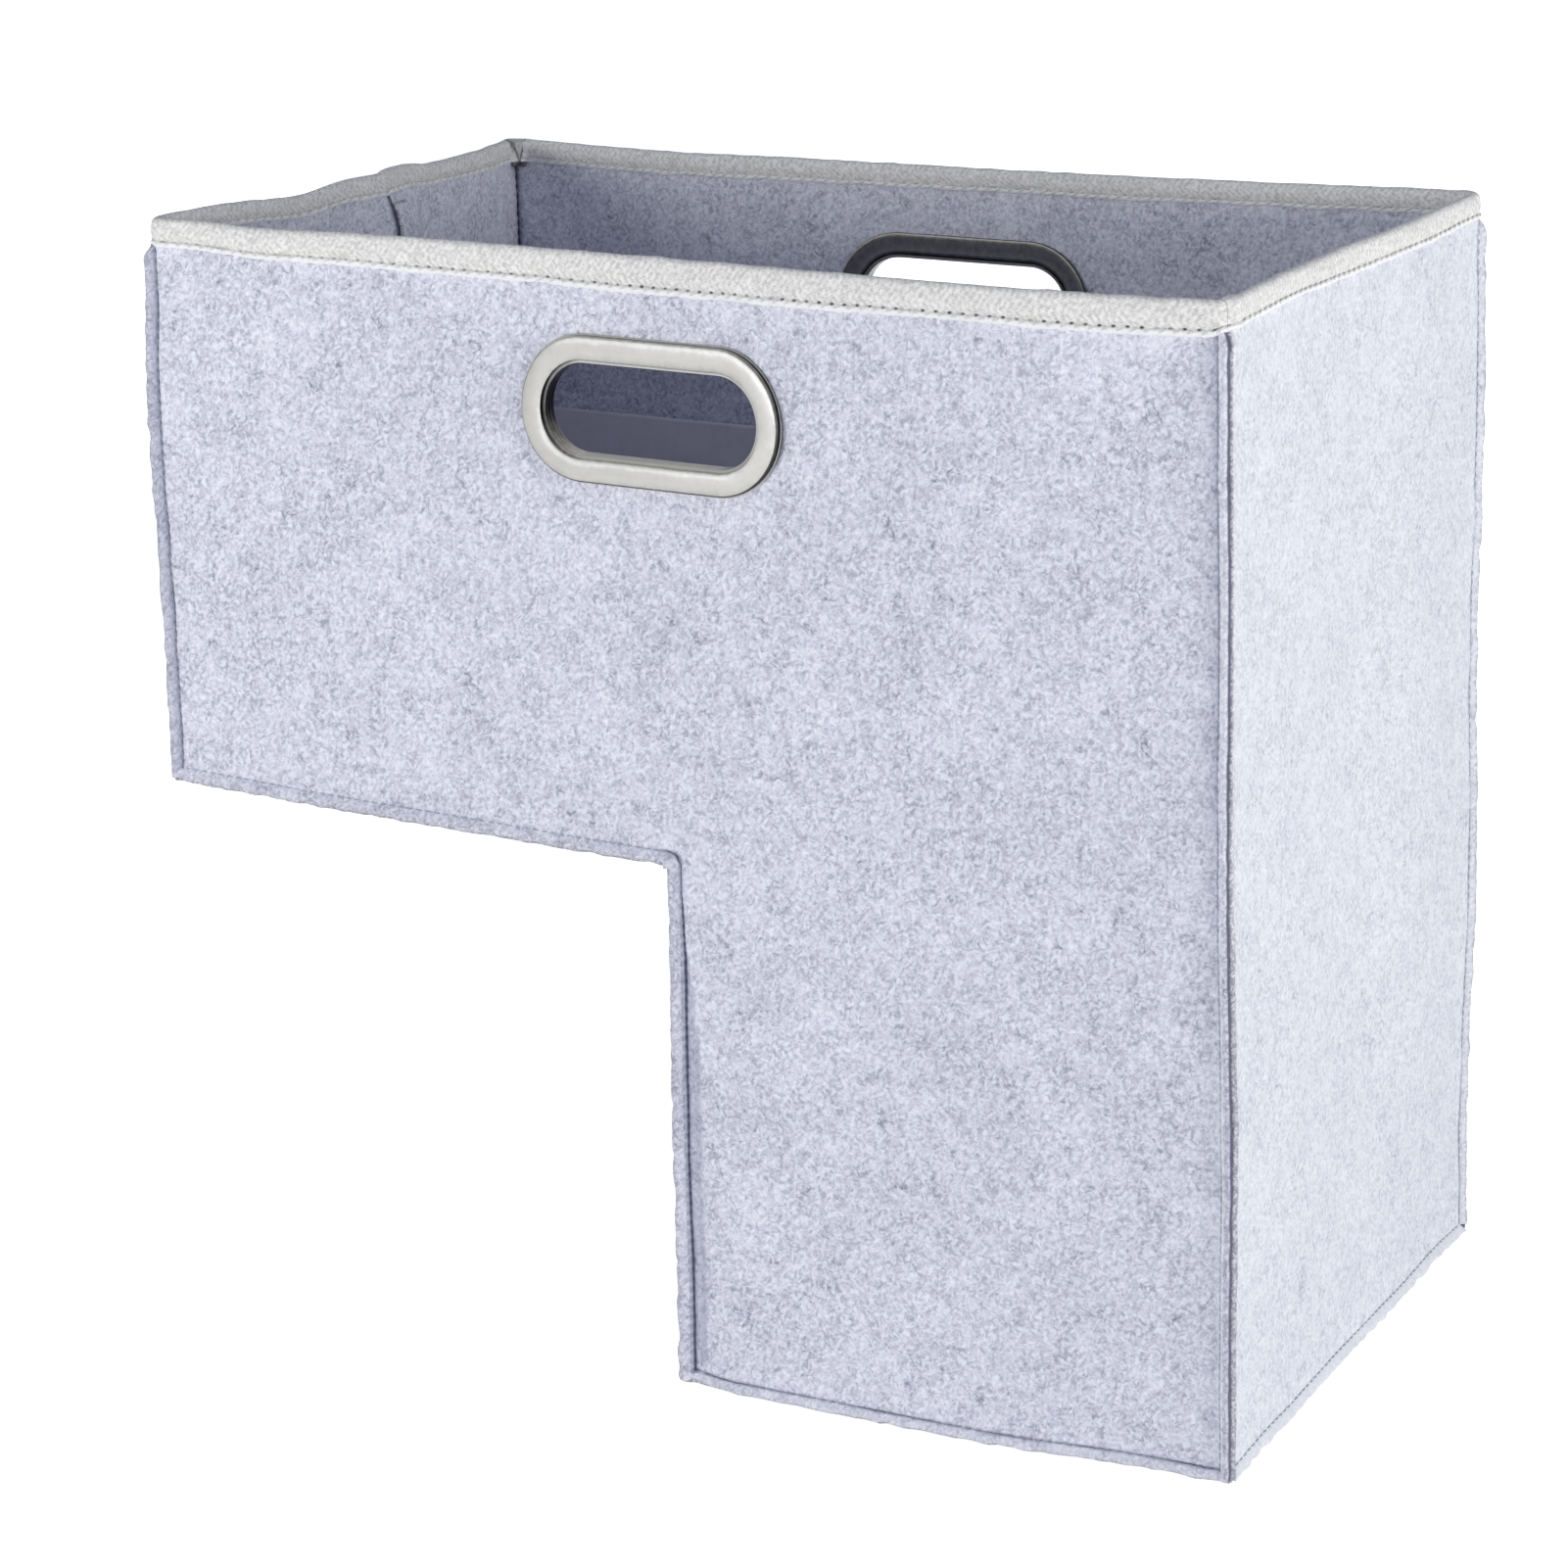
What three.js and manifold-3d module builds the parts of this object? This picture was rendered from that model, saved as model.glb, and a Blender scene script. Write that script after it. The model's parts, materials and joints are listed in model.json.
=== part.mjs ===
// Felt stair basket: an L-shaped open basket whose deep half hangs down over a stair step,
// with felt walls sewn edge to edge, a taped rim, oval steel hand holes and ends that crease
// inwards so that the basket folds flat. Millimetres, +Z up, front panel towards -Y,
// overhang towards -X. The origin is under the middle of the basket, on the floor.

import * as THREE from 'three';
import { mergeVertices } from 'three/addons/utils/BufferGeometryUtils.js';
import Module from 'manifold-3d';

// Body sizes, over the outer felt faces.
const bodyLength = 394;
const bodyDepth = 226;
const bodyHeight = 385.4;
const overhangLength = 200;
const overhangRise = 191;

// Felt and its sewn edges. Two plies are pinched outwards at 45 degrees along every edge.
const feltThickness = 2.4;
const seamAllowance = 5;
const footSquash = 1.2;
const plyGap = 0.3;

// Rim tape, folded over the top edge of the felt.
const tapeThickness = 0.7;
const tapeDrop = 10;
const flangeStop = 0.8;

// Clearance between pieces that lie against each other.
const fitGap = 0.3;

// Creased ends.
const leftCreaseInset = 8;
const rightCreaseInset = 3;
const hingeOffset = 4.6;
const creaseGap = 0.15;
const kerbHeight = 6;

// Stiffener boards that stand against the long walls.
const boardThickness = 1.6;
const boardBelowRing = 30;
const boardSideMargin = 9;

// Oval hand holes with their two steel rings.
const holeLength = 79;
const holeHeight = 30;
const ringWidth = 9.2;
const ringProud = 2.7;
const ringEdge = 1.1;
const barrelWall = 1.2;
const innerRingThickness = 1.6;
const handleDrop = 49;
const handleCentreX = -2;
const arcSteps = 20;

// Sizes that follow from the felt and the seams.
const grooveInset = feltThickness * Math.SQRT2;
const flare = (seamAllowance - grooveInset) / Math.SQRT2;
const halfPly = feltThickness / Math.SQRT2;
const tipReach = flare + halfPly;
const plyShift = plyGap * Math.SQRT2;
const tapeProud = fitGap + tapeThickness;
const wallStack = feltThickness + 2 * tapeProud;
const ringCrown = ringProud - ringEdge / 3;
const cutMargin = 20;
const mitreMargin = 1;
const weldDistance = 1e-5;

// Planes of the outer felt faces.
const leftX = -bodyLength / 2;
const rightX = bodyLength / 2;
const riserX = leftX + overhangLength;
const frontY = -bodyDepth / 2;
const backY = bodyDepth / 2;
const bottomZ = tipReach - footSquash;
const overhangZ = bottomZ + overhangRise;
const topZ = bottomZ + bodyHeight;
const handleZ = topZ + tapeProud - handleDrop;
const flangeTopZ = topZ - tapeDrop - flangeStop;
const returnReach = hingeOffset - fitGap;
const boardTopZ = handleZ - holeHeight / 2 - ringWidth - boardBelowRing;

const wasm = await Module();
wasm.setup();

const finishes = {
  felt: { color: 0xcfd0da, roughness: 0.95, metalness: 0 },
  tape: { color: 0xd9d9d4, roughness: 0.85, metalness: 0 },
  steel: { color: 0xc9c7bd, roughness: 0.32, metalness: 1 },
  board: { color: 0x55535f, roughness: 0.6, metalness: 0 },
};

function solidOf(geometry) {
  const bare = geometry.clone();
  bare.deleteAttribute('normal');
  bare.deleteAttribute('uv');
  const merged = mergeVertices(bare, weldDistance);
  const triVerts = new Uint32Array(merged.index.array);
  const vertProperties = new Float32Array(merged.attributes.position.array);
  return new wasm.Manifold(new wasm.Mesh({ numProp: 3, vertProperties, triVerts }));
}

function geometryOf(solid) {
  const mesh = solid.getMesh();
  const geometry = new THREE.BufferGeometry();
  geometry.setAttribute('position', new THREE.BufferAttribute(mesh.vertProperties, 3));
  geometry.setIndex(new THREE.BufferAttribute(mesh.triVerts, 1));
  geometry.computeVertexNormals();
  return geometry;
}

// A straight prism: the outline lies in the two other axes, in cyclic order, so along x it is
// given as [y, z], along y as [z, x] and along z as [x, y].
const prismBases = {
  x: [new THREE.Vector3(0, 1, 0), new THREE.Vector3(0, 0, 1), new THREE.Vector3(1, 0, 0)],
  y: [new THREE.Vector3(0, 0, 1), new THREE.Vector3(1, 0, 0), new THREE.Vector3(0, 1, 0)],
  z: [new THREE.Vector3(1, 0, 0), new THREE.Vector3(0, 1, 0), new THREE.Vector3(0, 0, 1)],
};

function shapeOf(outline) {
  return new THREE.Shape(outline.map(([u, v]) => new THREE.Vector2(u, v)));
}

function extruded(shape, axis, from, to) {
  const geometry = new THREE.ExtrudeGeometry(shape, {
    depth: to - from,
    bevelEnabled: false,
    curveSegments: arcSteps,
  });
  geometry.translate(0, 0, from);
  geometry.applyMatrix4(new THREE.Matrix4().makeBasis(...prismBases[axis]));
  return solidOf(geometry);
}

function prism(outline, axis, from, to) {
  return extruded(shapeOf(outline), axis, from, to);
}

function swapped(outline) {
  return outline.map(([u, v]) => [v, u]);
}

// The same solid seen in a mirror, across the plane x = 0 or y = 0.
function mirrored(solid, axis) {
  const geometry = geometryOf(solid);
  const scale = axis === 'x' ? [-1, 1, 1] : [1, -1, 1];
  geometry.scale(...scale);
  const corners = geometry.index.array;
  for (let i = 0; i < corners.length; i += 3) {
    const second = corners[i + 1];
    corners[i + 1] = corners[i + 2];
    corners[i + 2] = second;
  }
  return solidOf(geometry);
}

// The wall outline as [x, z] from the top left round to the top right, moved outwards by
// outset along every edge but the rim.
function wallOutline(outset) {
  return [
    [leftX - outset, topZ],
    [leftX - outset, overhangZ - outset],
    [riserX - outset, overhangZ - outset],
    [riserX - outset, bottomZ - outset],
    [rightX + outset, bottomZ - outset],
    [rightX + outset, topZ],
  ];
}

// The front wall: a flat L-shaped sheet whose edges flare outwards at 45 degrees as one ply of
// each seam. Every level is an outline at a depth behind the outer face.
function flaredWall() {
  const levels = [
    { outset: -feltThickness, depth: feltThickness },
    { outset: flare, depth: -flare },
    { outset: flare - halfPly, depth: -flare - halfPly },
    { outset: -grooveInset, depth: 0 },
  ];
  const loops = levels.map(({ outset, depth }) => wallOutline(outset)
    .map(([x, z]) => new THREE.Vector3(x, frontY + depth, z)));
  const points = [];
  const add = (...corners) => corners.forEach((corner) => points.push(corner));
  const count = loops[0].length;
  for (let level = 0; level + 1 < loops.length; level += 1) {
    for (let edge = 0; edge + 1 < count; edge += 1) {
      const a = loops[level][edge];
      const b = loops[level][edge + 1];
      const c = loops[level + 1][edge + 1];
      const d = loops[level + 1][edge];
      add(a, b, c);
      add(a, c, d);
    }
  }
  const face = (corners, flat) => THREE.ShapeUtils.triangulateShape(flat, [])
    .map((triple) => triple.map((index) => corners[index]));
  const inner = loops[0];
  const outer = loops[loops.length - 1];
  face(inner, inner.map((p) => new THREE.Vector2(p.x, p.z)))
    .forEach(([a, b, c]) => add(a, c, b));
  face(outer, outer.map((p) => new THREE.Vector2(p.x, p.z)))
    .forEach(([a, b, c]) => add(a, b, c));
  const rim = [
    ...loops.map((loop) => loop[0]),
    ...loops.map((loop) => loop[count - 1]).reverse(),
  ];
  face(rim, rim.map((p) => new THREE.Vector2(p.x, p.y)))
    .forEach(([a, b, c]) => add(a, b, c));
  return solidOf(new THREE.BufferGeometry().setFromPoints(points));
}

// One ply of a pinched seam with the sheet that it belongs to. The first number runs along the
// sheet from the neighbouring sheet's outer face, the second into the sheet from its own outer
// face; shift keeps the ply clear of the other one.
function plyOutline(shift, sheetReach) {
  return [
    [feltThickness + shift, feltThickness],
    [-flare + shift / 2, -flare - shift / 2],
    [-flare + halfPly, -flare - halfPly],
    [grooveInset, 0],
    [sheetReach, 0],
    [sheetReach, feltThickness],
  ];
}

// Cross-section of a sheet that spans from the front wall to the back wall, as [y, depth].
function crossSheet() {
  const half = plyOutline(plyShift, bodyDepth / 2).slice(0, 4);
  const front = half.map(([along, depth]) => [frontY + along, depth]);
  const back = half.map(([along, depth]) => [backY - along, depth]).reverse();
  return [...front, ...back];
}

const plyReach = bodyDepth / 2 - grooveInset - fitGap;
const mitreDepth = tipReach + mitreMargin;

function moved(outline, du, dv) {
  return outline.map(([u, v]) => [u + du, v + dv]);
}

// The seam tips below the floor are pressed flat by the basket's weight.
function pressedFlat(solid) {
  const ground = [
    [leftX - cutMargin, -cutMargin],
    [rightX + cutMargin, -cutMargin],
    [rightX + cutMargin, 0],
    [leftX - cutMargin, 0],
  ];
  return solid.subtract(prism(swapped(ground), 'y', frontY - cutMargin, backY + cutMargin));
}

// The floor of the overhang, between the left end's seam and the riser.
function stepFloor() {
  const sheet = prism(moved(crossSheet(), 0, overhangZ), 'x', leftX - cutMargin, riserX + cutMargin);
  const shift = plyShift / 2;
  const mitres = [
    [leftX + feltThickness + shift, overhangZ + feltThickness + fitGap],
    [leftX - mitreDepth + shift, overhangZ - mitreDepth],
    [riserX - mitreDepth - shift, overhangZ - mitreDepth],
    [riserX + feltThickness + fitGap - shift, overhangZ + feltThickness + fitGap],
  ];
  const ply = moved(plyOutline(shift, grooveInset + feltThickness), leftX, overhangZ);
  return sheet
    .intersect(prism(swapped(mitres), 'y', frontY - cutMargin, backY + cutMargin))
    .add(prism(swapped(ply), 'y', -plyReach, plyReach));
}

// The upright wall behind the stair's nosing.
function riser() {
  const outline = crossSheet().map(([y, depth]) => [riserX + depth, y]);
  const sheet = prism(outline, 'z', bottomZ - cutMargin, overhangZ + cutMargin);
  const shift = plyShift / 2;
  const mitres = [
    [riserX + feltThickness + fitGap, overhangZ + feltThickness + fitGap - shift],
    [riserX - mitreDepth, overhangZ - mitreDepth - shift],
    [riserX - mitreDepth, bottomZ - mitreDepth + shift],
    [riserX + feltThickness + fitGap, bottomZ + feltThickness + fitGap + shift],
  ];
  const ply = plyOutline(shift, grooveInset + feltThickness)
    .map(([along, depth]) => [riserX + depth, bottomZ + along]);
  return pressedFlat(sheet
    .intersect(prism(swapped(mitres), 'y', frontY - cutMargin, backY + cutMargin))
    .add(prism(swapped(ply), 'y', -plyReach, plyReach)));
}

// The bottom of the deep half.
function bottom() {
  const sheet = prism(moved(crossSheet(), 0, bottomZ), 'x', riserX - cutMargin, rightX + cutMargin);
  const shift = plyShift / 2;
  const mitres = [
    [riserX + feltThickness + fitGap + shift, bottomZ + feltThickness + fitGap],
    [riserX - mitreDepth + shift, bottomZ - mitreDepth],
    [rightX + mitreDepth - shift, bottomZ - mitreDepth],
    [rightX - feltThickness - fitGap - shift, bottomZ + feltThickness + fitGap],
  ];
  const half = plyOutline(shift, grooveInset + feltThickness);
  const leftPly = half.map(([along, depth]) => [riserX + along, bottomZ + depth]);
  const rightPly = half.map(([along, depth]) => [rightX - along, bottomZ + depth]);
  return pressedFlat(sheet
    .intersect(prism(swapped(mitres), 'y', frontY - cutMargin, backY + cutMargin))
    .add(prism(swapped(leftPly), 'y', -plyReach, plyReach))
    .add(prism(swapped(rightPly), 'y', -plyReach, plyReach)));
}

// The low strip of an end panel that is sewn to the floor below it, for the left side.
function endSeam(floorZ) {
  const outline = plyOutline(plyShift / 2, kerbHeight)
    .map(([along, depth]) => [floorZ + along, leftX + depth]);
  const reach = bodyDepth / 2 - hingeOffset;
  return prism(outline, 'y', -reach, reach);
}

// Everything outside the body's outer faces above the place where the seams stop.
function rimSurround() {
  const outside = shapeOf([
    [leftX - cutMargin, frontY - cutMargin],
    [rightX + cutMargin, frontY - cutMargin],
    [rightX + cutMargin, backY + cutMargin],
    [leftX - cutMargin, backY + cutMargin],
  ]);
  outside.holes.push(shapeOf([[leftX, frontY], [leftX, backY], [rightX, backY], [rightX, frontY]]));
  return extruded(outside, 'z', flangeTopZ, topZ + cutMargin);
}

// The strip of an end panel that is sewn to the front wall and turns the corner, left side.
function cornerSeam(floorZ) {
  const outline = plyOutline(plyShift, returnReach)
    .map(([along, depth]) => [leftX + depth, frontY + along]);
  const shift = plyShift / 2;
  const above = [
    [leftX - mitreDepth, floorZ - mitreDepth + shift],
    [leftX + feltThickness + fitGap, floorZ + feltThickness + fitGap + shift],
    [leftX + feltThickness + fitGap, topZ + cutMargin],
    [leftX - mitreDepth, topZ + cutMargin],
  ];
  return pressedFlat(prism(outline, 'z', floorZ - mitreDepth, topZ)
    .intersect(prism(swapped(above), 'y', frontY - cutMargin, backY + cutMargin))
    .subtract(rimSurround()));
}

// A stadium outline round a centre, its straight part as long as the hole's.
const straightLength = holeLength - holeHeight;

function stadium(centreX, centreZ, radius) {
  const shape = new THREE.Shape();
  const right = centreX + straightLength / 2;
  const left = centreX - straightLength / 2;
  shape.absarc(right, centreZ, radius, -Math.PI / 2, Math.PI / 2, false);
  shape.absarc(left, centreZ, radius, Math.PI / 2, 3 * Math.PI / 2, false);
  shape.closePath();
  return shape;
}

// A solid prism of a stadium given in x and z, running along y.
function stadiumPrism(radius, from, to) {
  const points = stadium(handleCentreX, handleZ, radius).getPoints(arcSteps);
  return prism(swapped(points.map((p) => [p.x, p.y])), 'y', from, to);
}

// A ring round the hand hole. The profile is closed, given as [distance out from the hole's
// edge, depth behind the wall's outer face], and is carried round the stadium.
function stadiumRing(profile) {
  const turns = [];
  for (let i = 0; i <= arcSteps; i += 1) {
    turns.push({ side: 1, angle: -Math.PI / 2 + (Math.PI * i) / arcSteps });
  }
  for (let i = 0; i <= arcSteps; i += 1) {
    turns.push({ side: -1, angle: Math.PI / 2 + (Math.PI * i) / arcSteps });
  }
  const sections = turns.map(({ side, angle }) => profile.map(([out, depth]) => {
    const radius = holeHeight / 2 + out;
    return new THREE.Vector3(
      handleCentreX + side * straightLength / 2 + radius * Math.cos(angle),
      frontY + depth,
      handleZ + radius * Math.sin(angle),
    );
  }));
  const points = [];
  sections.forEach((section, turn) => {
    const next = sections[(turn + 1) % sections.length];
    section.forEach((corner, index) => {
      const after = (index + 1) % section.length;
      points.push(corner, next[after], section[after]);
      points.push(corner, next[index], next[after]);
    });
  });
  return solidOf(new THREE.BufferGeometry().setFromPoints(points));
}

// The front ring with the barrel that lines the hole.
function outerRing() {
  const barrelEnd = feltThickness + fitGap + innerRingThickness;
  return stadiumRing([
    [0, barrelEnd],
    [barrelWall, barrelEnd],
    [barrelWall, -fitGap],
    [ringWidth, -fitGap],
    [ringWidth, -ringEdge],
    [ringWidth - ringEdge, -ringCrown],
    [ringWidth / 2, -ringProud],
    [ringEdge, -ringCrown],
    [0, -ringEdge],
  ]);
}

// The plain ring behind the wall that the barrel is pressed over.
function innerRing() {
  const near = feltThickness + fitGap;
  const far = near + innerRingThickness;
  return stadiumRing([
    [barrelWall + fitGap, far],
    [ringWidth - ringEdge, far],
    [ringWidth, far - ringEdge],
    [ringWidth, near],
    [barrelWall + fitGap, near],
  ]);
}

function frontWall() {
  return flaredWall()
    .subtract(rimSurround())
    .subtract(stadiumPrism(holeHeight / 2 + barrelWall + fitGap, frontY - cutMargin, frontY + cutMargin));
}

// A board in the shape of the wall, cut short below the hand hole.
function linerBoard() {
  const floor = feltThickness + fitGap;
  const sideGap = feltThickness + boardSideMargin;
  const outline = [
    [leftX + sideGap, boardTopZ],
    [leftX + sideGap, overhangZ + floor],
    [riserX + floor, overhangZ + floor],
    [riserX + floor, bottomZ + floor],
    [rightX - sideGap, bottomZ + floor],
    [rightX - sideGap, boardTopZ],
  ];
  const near = frontY + feltThickness + fitGap;
  return prism(swapped(outline), 'y', near, near + boardThickness);
}

// The tape over the front wall's rim, turned round both corners as far as the end panels.
function wallBinding() {
  const bracket = (out, reach) => {
    const inner = feltThickness + out;
    return [
      [leftX - out, frontY + reach],
      [leftX - out, frontY - out],
      [rightX + out, frontY - out],
      [rightX + out, frontY + reach],
      [rightX - inner, frontY + reach],
      [rightX - inner, frontY + inner],
      [leftX + inner, frontY + inner],
      [leftX + inner, frontY + reach],
    ];
  };
  const lowest = topZ - tapeDrop;
  return prism(bracket(tapeProud, returnReach), 'z', lowest, topZ + tapeProud)
    .subtract(prism(bracket(fitGap, returnReach + fitGap), 'z', lowest - cutMargin, topZ + fitGap));
}

// An end panel swings about a corner axis on the inner face of the stack of felt and tape, so
// that nothing bites as the end folds inwards.
const cornerAxisX = leftX + feltThickness + tapeProud;
const cornerAxisY = bodyDepth / 2 - hingeOffset;

// How the front half of the left end lies when its crease is drawn in by inset: its length, and
// a group whose local x runs from the corner axis to the crease and whose local y points out of
// the basket. The stack's inner face passes the corner axis and its outer face the crease.
function endHalf(inset) {
  const run = leftX + inset - tapeProud - cornerAxisX;
  const arm = Math.hypot(run, cornerAxisY);
  const length = Math.sqrt(arm ** 2 - wallStack ** 2);
  const angle = Math.atan2(run, cornerAxisY) + Math.atan2(wallStack, length);
  const frame = new THREE.Group();
  frame.position.set(cornerAxisX, -cornerAxisY, 0);
  frame.rotation.z = Math.PI / 2 - angle;
  frame.updateMatrix();
  return { length, matrix: frame.matrix };
}

function endPanel(length, floorZ) {
  const outline = [
    [creaseGap, tapeProud],
    [length - creaseGap, tapeProud],
    [length - creaseGap, tapeProud + feltThickness],
    [creaseGap, tapeProud + feltThickness],
  ];
  return prism(outline, 'z', floorZ + kerbHeight + fitGap, topZ);
}

function endBinding(length) {
  const section = [
    [0, topZ - tapeDrop],
    [0, topZ + tapeProud],
    [wallStack, topZ + tapeProud],
    [wallStack, topZ - tapeDrop],
    [wallStack - tapeThickness, topZ - tapeDrop],
    [wallStack - tapeThickness, topZ + fitGap],
    [tapeThickness, topZ + fitGap],
    [tapeThickness, topZ - tapeDrop],
  ];
  return prism(section, 'x', creaseGap, length - creaseGap);
}

// A solid given in an end half's own frame, set in the basket.
function placed(solid, matrix) {
  const geometry = geometryOf(solid);
  geometry.applyMatrix4(matrix);
  return solidOf(geometry);
}

const basket = new THREE.Group();
basket.name = 'stair_basket';

function addPiece(name, finish, solid) {
  const material = new THREE.MeshStandardMaterial({ ...finishes[finish], name: finish });
  const mesh = new THREE.Mesh(geometryOf(solid), material);
  mesh.name = name;
  basket.add(mesh);
}

// The front and back walls carry the same set of pieces, mirrored across y = 0.
const walls = [
  { name: 'front', place: (solid) => solid },
  { name: 'back', place: (solid) => mirrored(solid, 'y') },
];
for (const { name, place } of walls) {
  addPiece(`${name}_panel`, 'felt', place(frontWall()));
  addPiece(`${name}_left_seam`, 'felt', place(cornerSeam(overhangZ)));
  addPiece(`${name}_right_seam`, 'felt', place(mirrored(cornerSeam(bottomZ), 'x')));
  addPiece(`${name}_rim_binding`, 'tape', place(wallBinding()));
  addPiece(`${name}_handle_outer_ring`, 'steel', place(outerRing()));
  addPiece(`${name}_handle_inner_ring`, 'steel', place(innerRing()));
  addPiece(`${name}_liner_board`, 'board', place(linerBoard()));
}

// The ends fold at a vertical crease, each half a panel with its own length of rim tape.
const ends = [
  { side: 'left', inset: leftCreaseInset, floorZ: overhangZ, toSide: (solid) => solid },
  {
    side: 'right',
    inset: rightCreaseInset,
    floorZ: bottomZ,
    toSide: (solid) => mirrored(solid, 'x'),
  },
];
for (const { side, inset, floorZ, toSide } of ends) {
  const { length, matrix } = endHalf(inset);
  const panel = toSide(placed(endPanel(length, floorZ), matrix));
  const binding = toSide(placed(endBinding(length), matrix));
  addPiece(`${side}_end_front`, 'felt', panel);
  addPiece(`${side}_end_front_binding`, 'tape', binding);
  addPiece(`${side}_end_rear`, 'felt', mirrored(panel, 'y'));
  addPiece(`${side}_end_rear_binding`, 'tape', mirrored(binding, 'y'));
}

addPiece('step_floor', 'felt', stepFloor());
addPiece('riser', 'felt', riser());
addPiece('bottom', 'felt', bottom());
addPiece('left_bottom_seam', 'felt', endSeam(overhangZ));
addPiece('right_bottom_seam', 'felt', mirrored(endSeam(bottomZ), 'x'));

export default basket;
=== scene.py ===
"""A stair basket of grey needled felt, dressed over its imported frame.

Seen from the front the basket is an L: the deep half stands on one stair, the shallow half lies
over the next. Felt sheets meet in pinched seams that stand outwards at 45 degrees, a twill tape
is folded over the rim, and each long wall has an oval steel hand hole. All lengths are metres,
+Z is up, the front wall faces -Y and the overhang points to -X.
"""

import json
import logging
import math
from dataclasses import dataclass
from enum import Enum
from typing import Sequence

import bpy
import numpy as np
from mathutils import Matrix, Vector


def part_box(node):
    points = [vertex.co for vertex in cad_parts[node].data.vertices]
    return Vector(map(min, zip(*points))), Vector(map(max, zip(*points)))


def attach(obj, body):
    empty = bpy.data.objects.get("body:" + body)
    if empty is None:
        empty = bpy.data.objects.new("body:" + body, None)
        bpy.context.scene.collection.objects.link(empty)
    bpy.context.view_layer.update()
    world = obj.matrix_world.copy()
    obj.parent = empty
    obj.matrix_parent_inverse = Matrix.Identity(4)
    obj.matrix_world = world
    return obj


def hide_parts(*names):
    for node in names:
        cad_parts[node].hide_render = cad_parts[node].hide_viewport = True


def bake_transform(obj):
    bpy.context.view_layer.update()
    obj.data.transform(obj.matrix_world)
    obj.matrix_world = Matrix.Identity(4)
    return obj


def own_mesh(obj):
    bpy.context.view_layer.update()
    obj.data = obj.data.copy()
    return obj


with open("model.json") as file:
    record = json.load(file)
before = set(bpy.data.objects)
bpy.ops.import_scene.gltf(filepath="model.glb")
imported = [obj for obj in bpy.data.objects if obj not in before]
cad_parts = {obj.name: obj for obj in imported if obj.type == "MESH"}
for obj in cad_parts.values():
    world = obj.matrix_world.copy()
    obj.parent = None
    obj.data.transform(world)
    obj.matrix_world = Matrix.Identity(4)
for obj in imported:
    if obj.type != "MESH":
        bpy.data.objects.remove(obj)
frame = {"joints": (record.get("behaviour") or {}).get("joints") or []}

MM = 0.001
log = logging.getLogger("stair_basket")

Array = np.ndarray
Piece = bpy.types.Object
Socket = bpy.types.NodeSocket
Triple = tuple[float, float, float]


class Side(Enum):
    """The two long walls, with the sign of the direction that each one faces along Y."""

    FRONT = -1
    BACK = 1


class End(Enum):
    """The two ends, with the sign of the direction that each one faces along X."""

    LEFT = -1
    RIGHT = 1


class Strip(Enum):
    """The three lengths that each end is made in."""

    FRONT = "front"
    CREASE = "crease"
    REAR = "rear"


def smoothstep(values: Array, low: float, high: float) -> Array:
    """Rises from 0 at low to 1 at high as 3t^2 - 2t^3."""
    t = np.clip((np.asarray(values, float) - low) / (high - low), 0.0, 1.0)
    return t * t * (3.0 - 2.0 * t)


def unit(vectors: Array) -> Array:
    """The vectors on the last axis, each scaled to length 1."""
    return vectors / np.maximum(np.linalg.norm(vectors, axis=-1, keepdims=True), 1e-12)


def smooth_least(first: Array, second: Array, width: float) -> Array:
    """The lesser of two, rounded where they differ by less than width: min - k h (1 - h)."""
    h = np.clip(0.5 + 0.5 * (second - first) / width, 0, 1)
    return second * (1 - h) + first * h - width * h * (1 - h)


def hump(distance: Array, width: float) -> Array:
    """The bell exp(-(distance / width)^2)."""
    return np.exp(-((distance / width) ** 2))


def low_seam_and_raw_tint(height: Array) -> Array:
    """How low a point is on the front right seam: 1 below 120 mm and 0 above 260 mm."""
    return 1 - smoothstep(height, 120 * MM, 260 * MM)


def into_tape(below: Array) -> Array:
    """How far a ply is drawn back at points that far below its upper end, under the tape."""
    return 2.2 * MM * hump(np.clip(below, 0, None), 3 * MM)


class Waves:
    """A smooth unevenness of space: a mean of plane waves in seeded directions."""

    def __init__(self, wavelength: float, seed: int, count: int = 24) -> None:
        """Draws the waves.

        Args:
            wavelength: The middle wavelength. The waves run from 0.7 to 1.4 times that.
            seed: Seeds the directions and phases.
            count: How many waves are added.
        """
        rng = np.random.default_rng(seed)
        directions = unit(rng.normal(size=(count, 3)))
        lengths = wavelength * rng.uniform(0.7, 1.4, count)
        self.waves = directions * (2 * math.pi / lengths)[:, None]
        self.phases = rng.uniform(0, 2 * math.pi, count)

    def at(self, points: Array) -> Array:
        """The sum of cos(k.p + phase) over the root of half the count, about -2 to 2."""
        turns = points @ self.waves.T + self.phases
        return np.cos(turns).sum(axis=-1) / math.sqrt(len(self.phases) / 2)


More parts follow.
